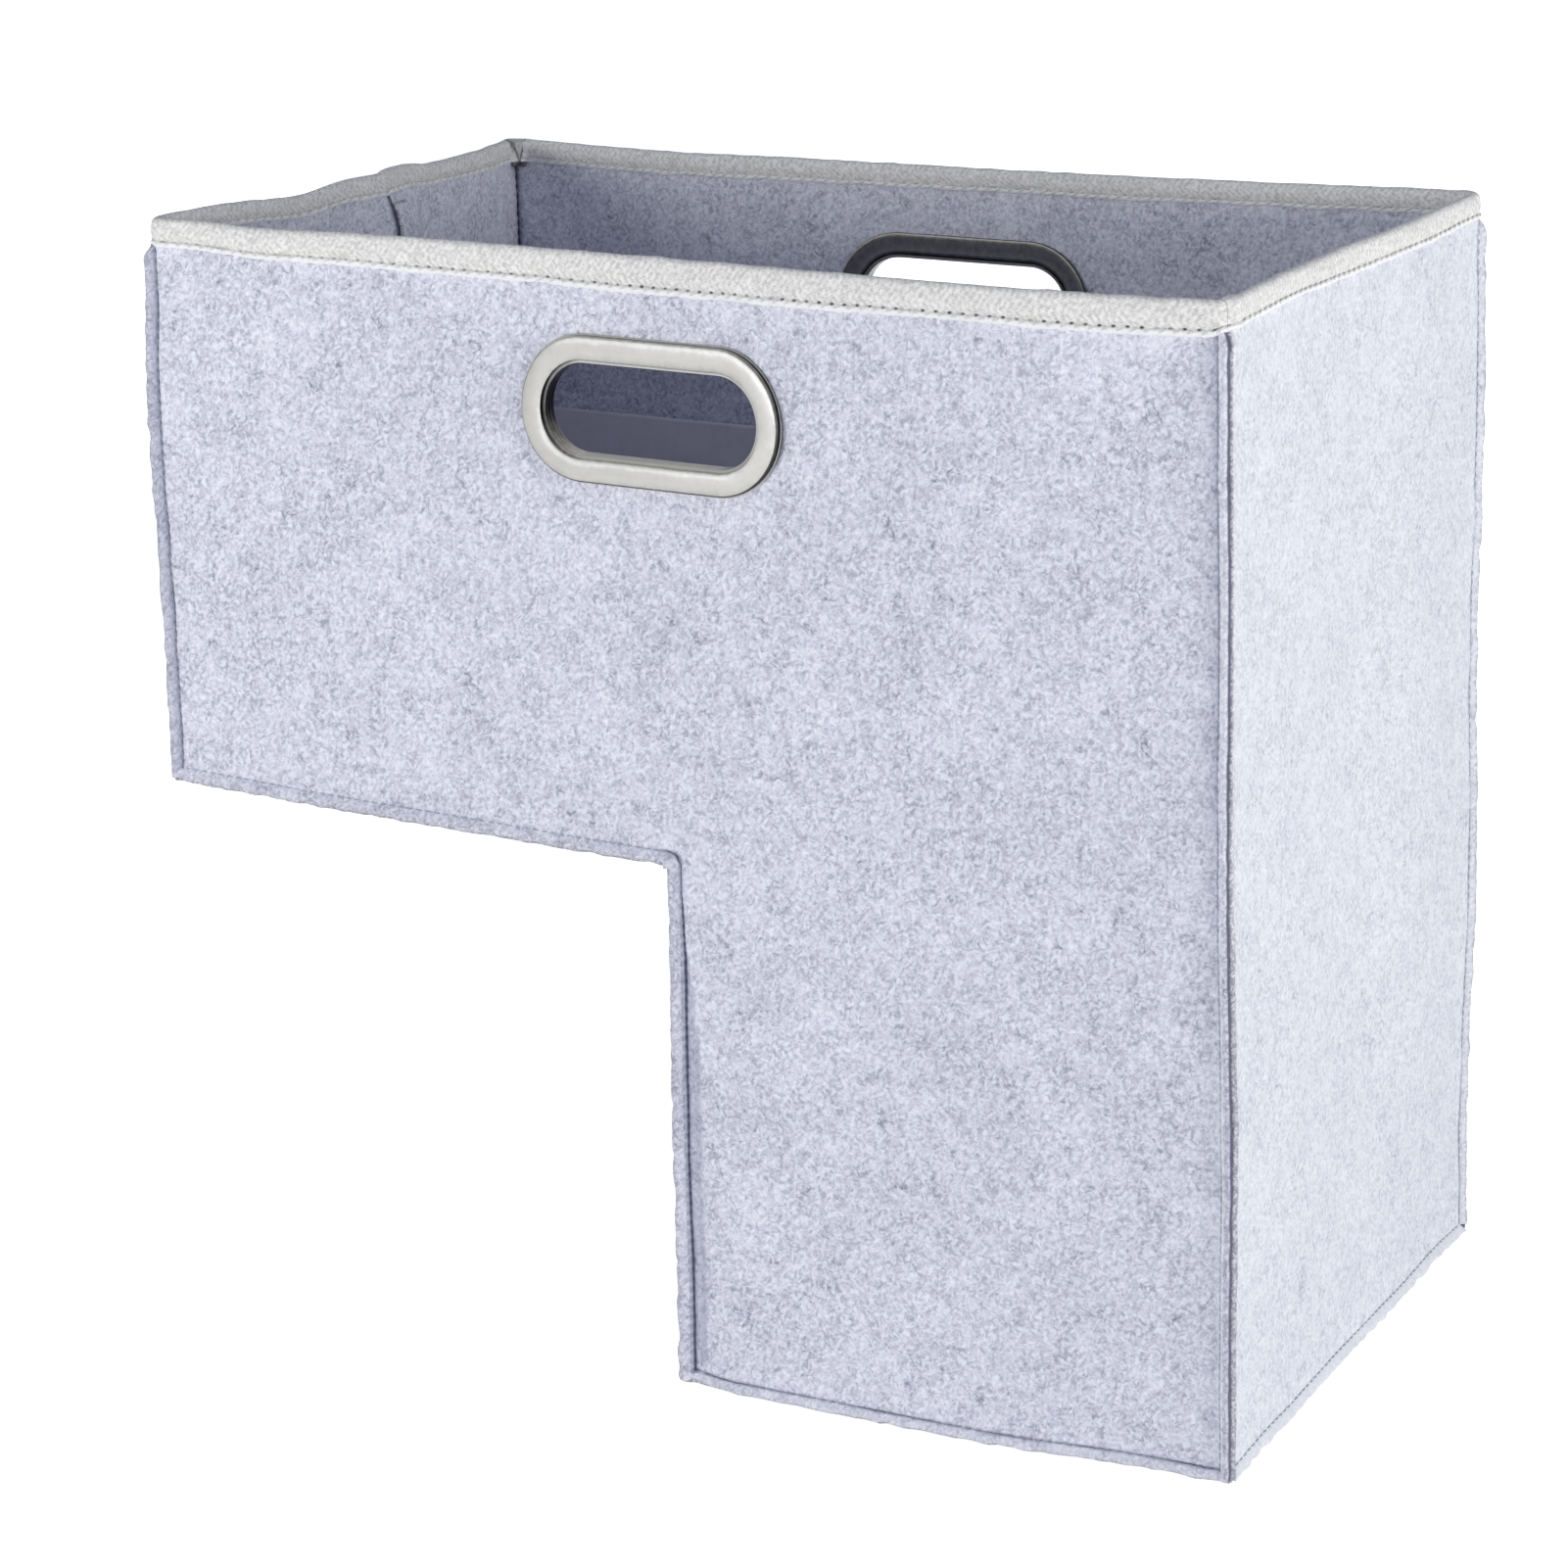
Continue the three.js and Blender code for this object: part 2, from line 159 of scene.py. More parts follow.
@dataclass(frozen=True)
class Felt:
    """The felt's gauge and how its edges are sewn.

    seam_stitch is the length, the radius and the rise of a stitch in a groove, which
    stands thread_stands outside the face.
    """

    thickness: float = 2.4 * MM
    allowance: float = 5.0 * MM
    ply_gap: float = 0.3 * MM
    stitch_pitch: float = 3.5 * MM
    bend_radius: float = 0.42 * MM
    edge_round: float = 1.0 * MM
    edge_least: float = 0.22 * MM
    seam_stitch: Triple = (2.5 * MM, 0.2 * MM, 0.1 * MM)
    thread_stands: float = 0.10 * MM

    @property
    def half(self) -> float:
        """Half the thickness."""
        return self.thickness / 2

    @property
    def groove(self) -> float:
        """How far inside a body corner the stitch groove lies, on the outer face."""
        return self.thickness * math.sqrt(2)

    @property
    def flare(self) -> float:
        """How far the contact plane of two plies stands outside the corner."""
        return (self.allowance - self.groove) / math.sqrt(2)

    @property
    def tip_reach(self) -> float:
        """How far a ply's outermost corner stands proud of the body's face."""
        return self.flare + self.half_ply * 2

    @property
    def half_ply(self) -> float:
        """Half a ply's thickness, seen at 45 degrees."""
        return self.half / math.sqrt(2)

    @property
    def tip(self) -> float:
        """How far the middle of a ply's raw edge stands outside the neighbouring face."""
        return self.flare - self.half_ply

    @property
    def bend(self) -> float:
        """Where the middle of the sheet turns out into the ply, as an outset."""
        return -(self.thickness + self.groove) / 2


@dataclass(frozen=True)
class Planes:
    """The planes of the body's outer faces, and the corner axes of the ends."""

    left: float
    right: float
    riser: float
    front: float
    back: float
    bottom: float
    overhang: float
    top: float
    hinge_offset: float
    handle: tuple[float, float]

    @classmethod
    def of_frame(cls, felt: Felt) -> "Planes":
        """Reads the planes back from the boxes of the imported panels."""
        low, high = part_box("front_panel")
        hinge = next(j for j in frame["joints"] if j["name"] == "fold_flat")
        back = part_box("back_panel")[1].y - felt.tip_reach
        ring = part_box("front_handle_outer_ring")
        return cls(
            left=low.x + felt.flare,
            right=high.x - felt.flare,
            riser=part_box("riser")[0].x + felt.tip_reach,
            front=low.y + felt.tip_reach,
            back=back,
            bottom=low.z + felt.flare,
            overhang=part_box("step_floor")[0].z + felt.tip_reach,
            top=high.z,
            hinge_offset=back - hinge["pos_m"][1],
            handle=((ring[0].x + ring[1].x) / 2, (ring[0].z + ring[1].z) / 2),
        )

    def face_y(self, side: Side) -> float:
        """The outer face of a long wall."""
        return self.front if side is Side.FRONT else self.back

    def face_x(self, end: End) -> float:
        """The outer face of an end."""
        return self.left if end is End.LEFT else self.right

    def floor_z(self, end: End) -> float:
        """The outer face of the floor that an end stands on."""
        return self.overhang if end is End.LEFT else self.bottom

    @property
    def depth_half(self) -> float:
        """Half the body's depth."""
        return (self.back - self.front) / 2

    @property
    def hinge_y(self) -> float:
        """How far the corner axes lie from the middle of the depth."""
        return self.depth_half - self.hinge_offset


@dataclass(frozen=True)
class Pull:
    """A place where the soft felt was pulled: by at its middle, fading beyond its reach."""

    place: Triple
    reach: Triple
    by: Triple

    def at(self, points: Array) -> Array:
        """The movement of points: by times exp(-sum(((p - place) / reach)^4))."""
        away = (points - np.array(self.place)) / np.array(self.reach)
        return np.exp(-(away**4).sum(-1))[..., None] * np.array(self.by)


@dataclass(frozen=True)
class Slack:
    """How the soft felt has moved from its flat places, as one smooth map of space.

    Every piece is moved by the same map, so what is sewn together stays together.

    Attributes:
        planes: The planes of the body.
        felt: The felt's gauge.
        front_bow: The amplitudes of the front rim's sine series, inwards.
        back_bow: How deep the back rim's two hollows are.
        bow_depth: How far below the rim the bows have faded.
        left_crease: How far the left end's crease is drawn in at the rim.
        left_crease_low: The same at the overhang.
        right_crease: How far the right end's crease is drawn in at the rim.
        right_bulge: How far its halves bulge outwards.
        crease_round: The radius of a crease.
        step_rise: How much the overhang's edge rises at the left end and sinks at the riser.
        unevenness: The height of the slow waves.
    """

    planes: Planes
    felt: Felt
    front_bow: tuple[float, ...] = (1.8 * MM, 5.2 * MM, -2.2 * MM)
    back_bow: float = 5.0 * MM
    bow_depth: float = 190 * MM
    left_crease: float = 21.0 * MM
    left_crease_low: float = 2.0 * MM
    right_crease: float = 2.4 * MM
    right_bulge: float = 2.2 * MM
    crease_round: float = 0.9 * MM
    step_rise: float = 3.0 * MM
    unevenness: float = 0.45 * MM

    def _front(self, x: Array, y: Array, z: Array) -> Array:
        """The front wall's bow: a sine series along the rim, fading down the wall."""
        p = self.planes
        u = np.clip((x - p.left) / (p.right - p.left), 0, 1)
        bow = sum(a * np.sin((k + 1) * math.pi * u) for k, a in enumerate(self.front_bow))
        near = 1 - smoothstep(y, p.front + 15 * MM, p.front + 70 * MM)
        return bow * near * smoothstep(z, p.top - self.bow_depth, p.top)

    def _back(self, x: Array, y: Array, z: Array) -> Array:
        """The back wall's bow: two hollows, (1 - cos 4 pi u) / 2, fading down the wall."""
        p = self.planes
        u = np.clip((x - p.left) / (p.right - p.left), 0, 1)
        near = smoothstep(y, p.back - 70 * MM, p.back - 15 * MM)
        hollow = (1 - np.cos(4 * math.pi * u)) / 2
        return -self.back_bow * hollow * near * smoothstep(z, p.top - self.bow_depth, p.top)

    def _ends(self, x: Array, y: Array, z: Array) -> Array:
        """The ends: a rounded V across the depth, deeper at the rim, and the right one's bulges."""
        p = self.planes
        r = self.crease_round
        across = np.clip(np.abs(y) / p.hinge_y, 0, 1) * p.hinge_y
        vee = 1 - (np.sqrt(across**2 + r**2) - r) / (math.hypot(p.hinge_y, r) - r)
        rise_left = np.clip((z - p.overhang) / (p.top - p.overhang), 0, 1)
        left = self.left_crease_low + (self.left_crease - self.left_crease_low) * rise_left**1.2
        rise_right = np.clip((z - p.bottom) / (p.top - p.bottom), 0, 1)
        right = self.right_crease * rise_right
        bulge = self.right_bulge * np.sin(math.pi * across / p.hinge_y) ** 2
        bulge = bulge * np.sin(math.pi * np.clip(rise_right, 0, 1)) ** 0.8
        at_left = 1 - smoothstep(x, p.left + 25 * MM, p.left + 90 * MM)
        at_right = smoothstep(x, p.right - 90 * MM, p.right - 25 * MM)
        return at_left * left * vee - at_right * (right * vee - bulge)

    def pulls(self) -> list[Pull]:
        """Where the photo shows the felt pulled out of line, in order of the places named."""
        p = self.planes
        everywhere = 1000.0
        ring = p.handle
        millimetres = [
            ("front rim", (0, p.front, p.top), (everywhere, 60, 45), (0, 0, 1.5)),
            ("front left corner", (p.left, p.front, p.top), (35, 60, 40), (2.2, 0, 1.7)),
            ("front ring", (ring[0], p.front, ring[1]), (90, 50, 45), (-1.6, 0, -1.7)),
            ("back ring", (ring[0], p.back, ring[1]), (90, 50, 50), (7.0, 0, 0.2)),
            ("riser", (p.riser, 0, 80 * MM), (45, everywhere, 150), (-3.35, 0, 0)),
            ("back right edge", (p.right, p.back, p.top), (90, 120, 260), (1.8, 0, 0)),
            ("right end's foot", (p.right, 0, 0), (90, everywhere, 170), (3.2, 0, 0)),
            ("right end's lower edge", (p.right, 20 * MM, 0), (70, 110, 90), (0, 0, 5.5)),
            ("front right foot", (p.right, p.front, 0), (60, 45, 80), (0, 0, 2.3)),
            ("back right foot", (p.right, p.back, 0), (70, 50, 80), (0, 0, 1.8)),
            ("front left foot", (p.riser, p.front, 0), (14, 40, 20), (0, 0, 1.1)),
            ("overhang", (-80 * MM, 0, p.overhang), (95, everywhere, 50), (0, 0, -1.9)),
            ("back rim", (-60 * MM, p.back, p.top), (140, 60, 60), (0, 0, -1.7)),
            ("back left corner", (p.left, p.back, p.top), (90, 70, 260), (11.5, 0, 0)),
            ("left crease", (p.left + 15 * MM, 0, p.top), (45, 32, 90), (0, 4, 3)),
            ("below its tape", (p.left + 15 * MM, 4 * MM, p.top - 32 * MM), (45, 26, 23), (7.5, 0, 0)),
        ]
        return [
            Pull(place, tuple(v * MM for v in reach), tuple(v * MM for v in by))
            for _, place, reach, by in millimetres
        ]

    def _step(self, x: Array, z: Array) -> Array:
        """The overhang's lower edge, which hangs lower towards the riser."""
        p = self.planes
        along = np.clip((x - p.left) / (p.riser - p.left), 0, 1.2)
        near = hump(z - p.overhang, 45 * MM)
        return self.step_rise * (1 - 2 * along) * near * (1 - smoothstep(x, p.riser, p.riser + 60 * MM))

    def moved(self, points: Array) -> Array:
        """Moves points from their flat places to where the slack felt lies.

        Args:
            points: An array whose last axis is x, y and z.

        Returns:
            The moved points, in the same shape. Nothing ends below the floor.
        """
        p = self.planes
        x, y, z = points[..., 0], points[..., 1], points[..., 2]
        wave = [Waves(150 * MM, seed, 16).at(points) * self.unevenness for seed in (3, 4, 5)]
        lifted = smoothstep(z, p.bottom, p.bottom + 40 * MM)
        pulled = sum(pull.at(points) for pull in self.pulls())
        new_x = x + self._ends(x, y, z) + wave[0] * lifted + pulled[..., 0]
        new_y = y + self._front(x, y, z) + self._back(x, y, z) + wave[1] * lifted + pulled[..., 1]
        new_z = z + self._step(x, z) + wave[2] * lifted * 0.6
        lowest = p.bottom - self.felt.tip_reach
        free = p.bottom + 1.5 * self.felt.thickness
        pressed = free * (new_z - lowest) / (free - lowest)
        new_z = np.maximum(np.where(new_z < free, pressed, new_z) + pulled[..., 2], 0.0)
        return np.stack([new_x, new_y, new_z], axis=-1)


def graded_lines(low: float, high: float, step: float, edges: Sequence[tuple[float, int]]) -> Array:
    """Grid lines about step apart, closer together beside each sewn or bound edge.

    Args:
        low: The first line.
        high: The last line.
        step: The even spacing.
        edges: Pairs of an edge's place and the side, 1 or -1, on which the sheet lies.

    Returns:
        The sorted lines.
    """
    near = np.array([0, 0.18, 0.45, 0.85, 1.3, 1.8, 2.3, 2.75, 3.1, 3.45, 3.8, 4.25, 4.9, 5.8, 7.0]) * MM
    lines = np.linspace(low, high, max(2, round((high - low) / step) + 1))
    for place, side in edges:
        fine = place + side * near
        inside = (lines > fine.min() - 0.5 * step) & (lines < fine.max() + 0.5 * step)
        lines = np.concatenate([lines[~inside], fine])
    lines = np.unique(np.clip(np.append(lines, [low, high]), low, high))
    keep = np.concatenate([[True], np.diff(lines) > 0.05 * MM])
    return lines[keep]


def shell(outer: Array, inner: Array, cells: Array) -> tuple[Array, Array]:
    """A closed shell between two point grids, over the cells that are kept.

    Args:
        outer: Points of the outer face, n by m by 3.
        inner: Points of the inner face, in the same layout.
        cells: Which of the n-1 by m-1 cells exist.

    Returns:
        The indices of the grid points in use and the quads over them, where indices past
        n times m mean the inner face. Border quads join the two faces all round.
    """
    n, m = outer.shape[:2]
    size = n * m
    grid = np.arange(size).reshape(n, m)
    a, b, c, d = grid[:-1, :-1], grid[1:, :-1], grid[1:, 1:], grid[:-1, 1:]
    padded = np.pad(cells, 1)
    here = padded[1:-1, 1:-1]
    quads = [
        np.stack([a, b, c, d], -1)[cells],
        np.stack([a, d, c, b], -1)[cells] + size,
        np.stack([b, a, a + size, b + size], -1)[here & ~padded[1:-1, :-2]],
        np.stack([d, c, c + size, d + size], -1)[here & ~padded[1:-1, 2:]],
        np.stack([a, d, d + size, a + size], -1)[here & ~padded[:-2, 1:-1]],
        np.stack([c, b, b + size, c + size], -1)[here & ~padded[2:, 1:-1]],
    ]
    used, faces = np.unique(np.concatenate(quads), return_inverse=True)
    return used, faces.reshape(-1, 4)


def loop_quads(rows: int, columns: int, closed_rows: bool) -> Array:
    """Quads of a tube: rings of columns points, which close on themselves, in rows rings.

    Args:
        rows: How many rings there are.
        columns: How many points each ring has.
        closed_rows: Whether the last ring joins the first.

    Returns:
        The quads as indices into the points, ring after ring.
    """
    ring = np.arange(rows if closed_rows else rows - 1)[:, None]
    point = np.arange(columns)[None, :]
    after = (ring + 1) % rows
    right = (point + 1) % columns
    here, there = ring * columns, after * columns
    quads = np.stack([here + point, here + right, there + right, there + point], -1)
    return quads.reshape(-1, 4)


def faced_outwards(vertices: Array, faces: Array) -> Array:
    """The faces, turned round if the closed mesh that they bound has a negative volume."""
    corners = vertices[faces]
    volume = 0.0
    for second, third in ((1, 2), (2, 3)):
        normals = np.cross(corners[:, second], corners[:, third])
        volume += np.einsum("ij,ij->i", corners[:, 0], normals).sum()
    return faces if volume >= 0 else faces[:, ::-1]


@dataclass
class Made:
    """A finished mesh before it becomes an object."""

    vertices: Array
    faces: Array
    uv: Array | None = None
    values: dict[str, Array] | None = None

    def object(self, name: str, finish: bpy.types.Material, sharp: float = 55.0) -> Piece:
        """Makes the Blender object.

        Args:
            name: The piece's name.
            finish: Its material.
            sharp: Edges over this angle in degrees are shaded sharp.

        Returns:
            The new object, at the origin and linked to the scene.
        """
        faces = faced_outwards(self.vertices, self.faces)
        corners = faces.shape[1]
        mesh = bpy.data.meshes.new(name)
        mesh.vertices.add(len(self.vertices))
        mesh.vertices.foreach_set("co", self.vertices.astype(np.float32).ravel())
        mesh.loops.add(faces.size)
        mesh.loops.foreach_set("vertex_index", faces.astype(np.int32).ravel())
        mesh.polygons.add(len(faces))
        mesh.polygons.foreach_set("loop_start", np.arange(len(faces), dtype=np.int32) * corners)
        mesh.update(calc_edges=True)
        if self.uv is not None:
            layer = mesh.uv_layers.new(name="weave")
            layer.data.foreach_set("uv", self.uv[faces.ravel()].astype(np.float32).ravel())
        for key, value in (self.values or {}).items():
            kind = "FLOAT" if value.ndim == 1 else "FLOAT_VECTOR"
            store = mesh.attributes.new(key, kind, "POINT")
            field_name = "value" if value.ndim == 1 else "vector"
            store.data.foreach_set(field_name, value.astype(np.float32).ravel())
        mesh.validate()
        mesh.polygons.foreach_set("use_smooth", np.ones(len(mesh.polygons), bool))
        mesh.set_sharp_from_angle(angle=math.radians(sharp))
        mesh.materials.append(finish)
        made = bpy.data.objects.new(name, mesh)
        bpy.context.scene.collection.objects.link(made)
        return made


class Nodes:
    """A short way to write a material's node tree."""

    def __init__(self, name: str) -> None:
        """Starts a material that holds one Principled shader."""
        self.material = bpy.data.materials.new(name)
        self.material.use_nodes = True
        self.tree = self.material.node_tree
        self.tree.nodes.clear()
        self.shader = self.add("ShaderNodeBsdfPrincipled")
        output = self.add("ShaderNodeOutputMaterial")
        self.link(self.shader.outputs["BSDF"], output.inputs["Surface"])

    def add(self, kind: str, **settings: object) -> bpy.types.Node:
        """Adds a node, with properties set by name."""
        node = self.tree.nodes.new(kind)
        for key, value in settings.items():
            setattr(node, key, value)
        return node

    def link(self, source: Socket, target: Socket) -> None:
        """Joins an output to an input."""
        self.tree.links.new(source, target)

    def feed(self, target: Socket, value: object) -> None:
        """Links a socket to the target, or sets a plain value on it."""
        if isinstance(value, Socket):
            self.link(value, target)
        else:
            target.default_value = value

    def set(self, name: str, value: object) -> None:
        """Feeds one of the shader's inputs."""
        self.feed(self.shader.inputs[name], value)

    def math(self, operation: str, *values: object) -> Socket:
        """The result of a Math node on sockets or numbers."""
        node = self.add("ShaderNodeMath", operation=operation)
        for index, value in enumerate(values):
            self.feed(node.inputs[index], value)
        return node.outputs[0]

    def plus(self, first: object, second: object) -> Socket:
        """The sum of two."""
        return self.math("ADD", first, second)

    def minus(self, first: object, second: object) -> Socket:
        """The first less the second."""
        return self.math("SUBTRACT", first, second)

    def times(self, first: object, second: object) -> Socket:
        """The product of two."""
        return self.math("MULTIPLY", first, second)

    def scaled(self, value: object, by: object, added: object) -> Socket:
        """The value times by, plus added."""
        return self.math("MULTIPLY_ADD", value, by, added)

    def flipped(self, value: object) -> Socket:
        """One less the value."""
        return self.minus(1.0, value)

    def hypot(self, u: object, v: object) -> Socket:
        """The root of u^2 + v^2."""
        return self.math("SQRT", self.plus(self.times(u, u), self.times(v, v)))

    def parts(self, vector: Socket) -> tuple[Socket, ...]:
        """The x, y and z of a vector."""
        node = self.add("ShaderNodeSeparateXYZ")
        self.link(vector, node.inputs[0])
        return tuple(node.outputs)

    def vector_math(self, operation: str, *values: object) -> Socket:
        """The vector result of a Vector Math node on sockets or vectors."""
        node = self.add("ShaderNodeVectorMath", operation=operation)
        for index, value in enumerate(values):
            self.feed(node.inputs["Scale" if operation == "SCALE" and index == 1 else index], value)
        return node.outputs[0]

    def ramp(self, value: object, *stops: tuple[float, Triple]) -> Socket:
        """The colour of a Color Ramp with the given stops."""
        node = self.add("ShaderNodeValToRGB")
        elements = node.color_ramp.elements
        while len(elements) < len(stops):
            elements.new(0.5)
        for element, (place, colour) in zip(elements, stops):
            element.position = place
            element.color = (*colour, 1)
        self.feed(node.inputs[0], value)
        return node.outputs["Color"]

    def span(self, value: object, low: float, high: float, smooth: bool = True) -> Socket:
        """The value mapped from low..high to 0..1, clamped, smoothly if asked."""
        node = self.add("ShaderNodeMapRange", interpolation_type="SMOOTHSTEP" if smooth else "LINEAR")
        self.feed(node.inputs["Value"], value)
        node.inputs["From Min"].default_value = low
        node.inputs["From Max"].default_value = high
        return node.outputs["Result"]

    def mix(self, share: object, first: object, second: object) -> Socket:
        """A colour mix of two sockets or colours."""
        node = self.add("ShaderNodeMix", data_type="RGBA")
        self.feed(node.inputs[0], share)
        for socket, value in ((node.inputs[6], first), (node.inputs[7], second)):
            self.feed(socket, value if isinstance(value, Socket) else (*value, 1))
        return node.outputs[2]

    def noise(self, vector: object, scale: float, detail: float, roughness: float = 0.5,
              distortion: float = 0.0) -> bpy.types.Node:
        """A Noise Texture on a vector."""
        node = self.add("ShaderNodeTexNoise")
        self.feed(node.inputs["Vector"], vector)
        node.inputs["Scale"].default_value = scale
        node.inputs["Detail"].default_value = detail
        node.inputs["Roughness"].default_value = roughness
        node.inputs["Distortion"].default_value = distortion
        return node

    def cloud(self, vector: object, scale: float, detail: float, *shape: float) -> Socket:
        """The value of a Noise Texture, from 0 to 1."""
        return self.noise(vector, scale, detail, *shape).outputs["Fac"]

    def bump(self, height: object, strength: float, distance: float) -> Socket:
        """A Bump node's normal."""
        node = self.add("ShaderNodeBump")
        node.inputs["Strength"].default_value = strength
        node.inputs["Distance"].default_value = distance
        self.feed(node.inputs["Height"], height)
        return node.outputs["Normal"]

    def attribute(self, name: str) -> bpy.types.Node:
        """Reads one of the piece's own attributes."""
        return self.add("ShaderNodeAttribute", attribute_name=name)

    def millimetres(self) -> Socket:
        """Object coordinates in millimetres."""
        place = self.add("ShaderNodeTexCoord")
        return self.vector_math("SCALE", place.outputs["Object"], 1 / MM)


def srgb(red: float, green: float, blue: float) -> Triple:
    """A display colour from 0 to 255, as linear light."""
    def linear(value: float) -> float:
        share = value / 255
        return share / 12.92 if share <= 0.04045 else ((share + 0.055) / 1.055) ** 2.4
    return linear(red), linear(green), linear(blue)


@dataclass(frozen=True)
class FeltFinish:
    """Matt needled felt: pale ground, darker curled fibres, cloudy patches, raw cut edges.

    Attributes:
        name: The material's name.
        contrast: How strongly the fibres and patches show.
        pale: The palest felt, at light fibres.
        ground: The felt between the fibres.
        fleck: The darkest fibres.
        raw_pale: A cut edge.
        raw_dark: Its fibres.
        pressed: The painted shade beside the seams.
        hole: The painted shade in needle holes and deep grooves.
        directions: The ways that the fibres lie.
        drawn_out: How much longer than thick they are.
        fibre_scale: The scale of their noise, in cycles per millimetre.
    """

    name: str = "grey_felt"
    contrast: float = 1.0
    pale: Triple = srgb(247, 248, 255)
    ground: Triple = srgb(222, 223, 235)
    fleck: Triple = srgb(142, 144, 160)
    raw_pale: Triple = srgb(226, 225, 231)
    raw_dark: Triple = srgb(158, 156, 164)
    pressed: Triple = srgb(128, 131, 156)
    hole: Triple = srgb(80, 80, 102)
    directions: tuple[Triple, ...] = (
        (1.0, 0.9, 0.8), (-0.9, 1.0, 0.8), (0.9, -1.0, 0.5), (0.3, -0.5, 1.0),
    )
    drawn_out: float = 3.6
    fibre_scale: float = 0.80

    def material(self, felt: Felt) -> bpy.types.Material:
        """Builds the material.

        Args:
            felt: Gives the pitch of the needle holes.

        Returns:
            The felt material, which reads the attributes raw_edge, pressed (painted seam shade and
            light) and stitch (painted shade at the needle holes).
        """
        n = Nodes(self.name)
        place = n.millimetres()
        drift = n.vector_math("SUBTRACT", n.noise(place, 0.22, 1).outputs["Color"], (0.5, 0.5, 0.5))
        curl = n.vector_math("SCALE", drift, 3.0)
        bent = n.vector_math("ADD", place, curl)
        patches = n.cloud(place, 0.14, 3, 0.6)
        clouds = n.cloud(place, 0.032, 3, 0.55)
        dark, light = self._fibres(n, bent)
        dense = n.scaled(n.span(patches, 0.34, 0.64), 0.5, 0.6)
        grain = n.cloud(bent, 1.05, 1, 0.55)
        light = n.times(light, 0.72)
        tone = n.times(n.minus(n.times(dark, dense), light), 0.48)
        for value, weight in ((grain, 0.42), (patches, 0.18), (clouds, 0.32)):
            tone = n.plus(tone, n.times(n.minus(value, 0.5), weight))
        tone = n.plus(tone, n.times(self._hairs(n, place), 0.30))
        tone = n.scaled(tone, self.contrast, 0.34 + 0.02 * self.contrast)
        colour = n.ramp(tone, (0.0, self.pale), (0.34, self.ground), (1.0, self.fleck))
        raw = n.attribute("raw_edge").outputs["Fac"]
        torn = n.span(n.plus(grain, n.times(dark, 0.5)), 0.40, 0.86)
        low_seam_and_raw_tint = n.mix(torn, self.raw_pale, self.raw_dark)
        colour = n.mix(n.times(raw, 0.85), colour, low_seam_and_raw_tint)
        # Painted light where the seam attribute is below 0, and painted seam shade above it, deepest in
        # the grooves.
        pressed = n.attribute("pressed").outputs["Fac"]
        colour = n.mix(n.times(pressed, -1.0), colour, self.pale)
        colour = n.mix(n.times(pressed, 0.72), colour, self.pressed)
        colour = n.mix(n.times(n.span(pressed, 0.62, 1.0), 0.8), colour, self.hole)
        colour = self._needle_holes(n, felt, colour)
        n.set("Base Color", colour)
        n.set("Roughness", 0.95)
        n.set("Specular IOR Level", 0.1)
        n.set("Sheen Weight", 0.08)
        n.set("Sheen Roughness", 0.6)
        fine = n.minus(n.times(grain, 1.3), n.times(dark, 0.25))
        fine = n.plus(fine, n.times(patches, 1.2))
        n.set("Normal", n.bump(fine, 0.5, 0.35 * MM))
        return n.material

    def _hairs(self, n: Nodes, place: Socket) -> Socket:
        """Sparse long curled hairs: one where a slow noise is near its middle, in some regions."""
        value = n.cloud(place, 0.11, 2, 0.55, 0.4)
        off = n.math("ABSOLUTE", n.minus(value, 0.5))
        line = n.flipped(n.span(off, 0.004, 0.026))
        where = n.cloud(n.vector_math("ADD", place, (71.0, 13.0, 29.0)), 0.09, 2)
        return n.times(line, n.span(where, 0.50, 0.66))

    def _fibres(self, n: Nodes, place: Socket) -> tuple[Socket, Socket]:
        """Short fibres that cross: noises drawn out along several directions.

        Each noise reads p - (1 - k)(p.d) d, which draws it out by 1 / k along d. Its high
        values are dark fibres and its low ones light fibres, and the greatest of all shows.

        Returns:
            How dark and how light the fibres make a point, each from 0 to 1.
        """
        dark, light = None, None
        for turn in self.directions:
            along = n.add("ShaderNodeVectorMath", operation="DOT_PRODUCT")
            n.feed(along.inputs[0], place)
            length = math.sqrt(sum(v * v for v in turn))
            way = tuple(v / length for v in turn)
            along.inputs[1].default_value = way
            drawn = n.times(along.outputs["Value"], 1 - 1 / self.drawn_out)
            from_place = n.vector_math("SUBTRACT", place, n.vector_math("SCALE", way, drawn))
            value = n.cloud(from_place, self.fibre_scale, 1, 0.5)
            high = n.span(value, 0.50, 0.78, False)
            low = n.span(value, 0.50, 0.22, False)
            dark = high if dark is None else n.math("MAXIMUM", dark, high)
            light = low if light is None else n.math("MAXIMUM", light, low)
        return dark, light

    def _needle_holes(self, n: Nodes, felt: Felt, colour: Socket) -> Socket:
        """Paints shade along the stitch line, most of all at the needle holes.

        The attribute stitch holds the distances along and across the line and the depth of
        the painted shade.
        """
        run, off, depth = n.parts(n.attribute("stitch").outputs["Vector"])
        turn = n.minus(n.math("FRACT", n.times(run, 1 / felt.stitch_pitch)), 0.5)
        u = n.times(turn, felt.stitch_pitch / MM / 0.8)
        v = n.times(off, 1 / (0.6 * MM))
        spot = n.flipped(n.span(n.hypot(u, v), 0.3, 1.3))
        line = n.flipped(n.span(n.math("ABSOLUTE", v), 0.1, 1.5))
        share = n.plus(n.times(spot, 0.45), n.times(line, 0.22))
        return n.mix(n.times(share, depth), colour, self.hole)


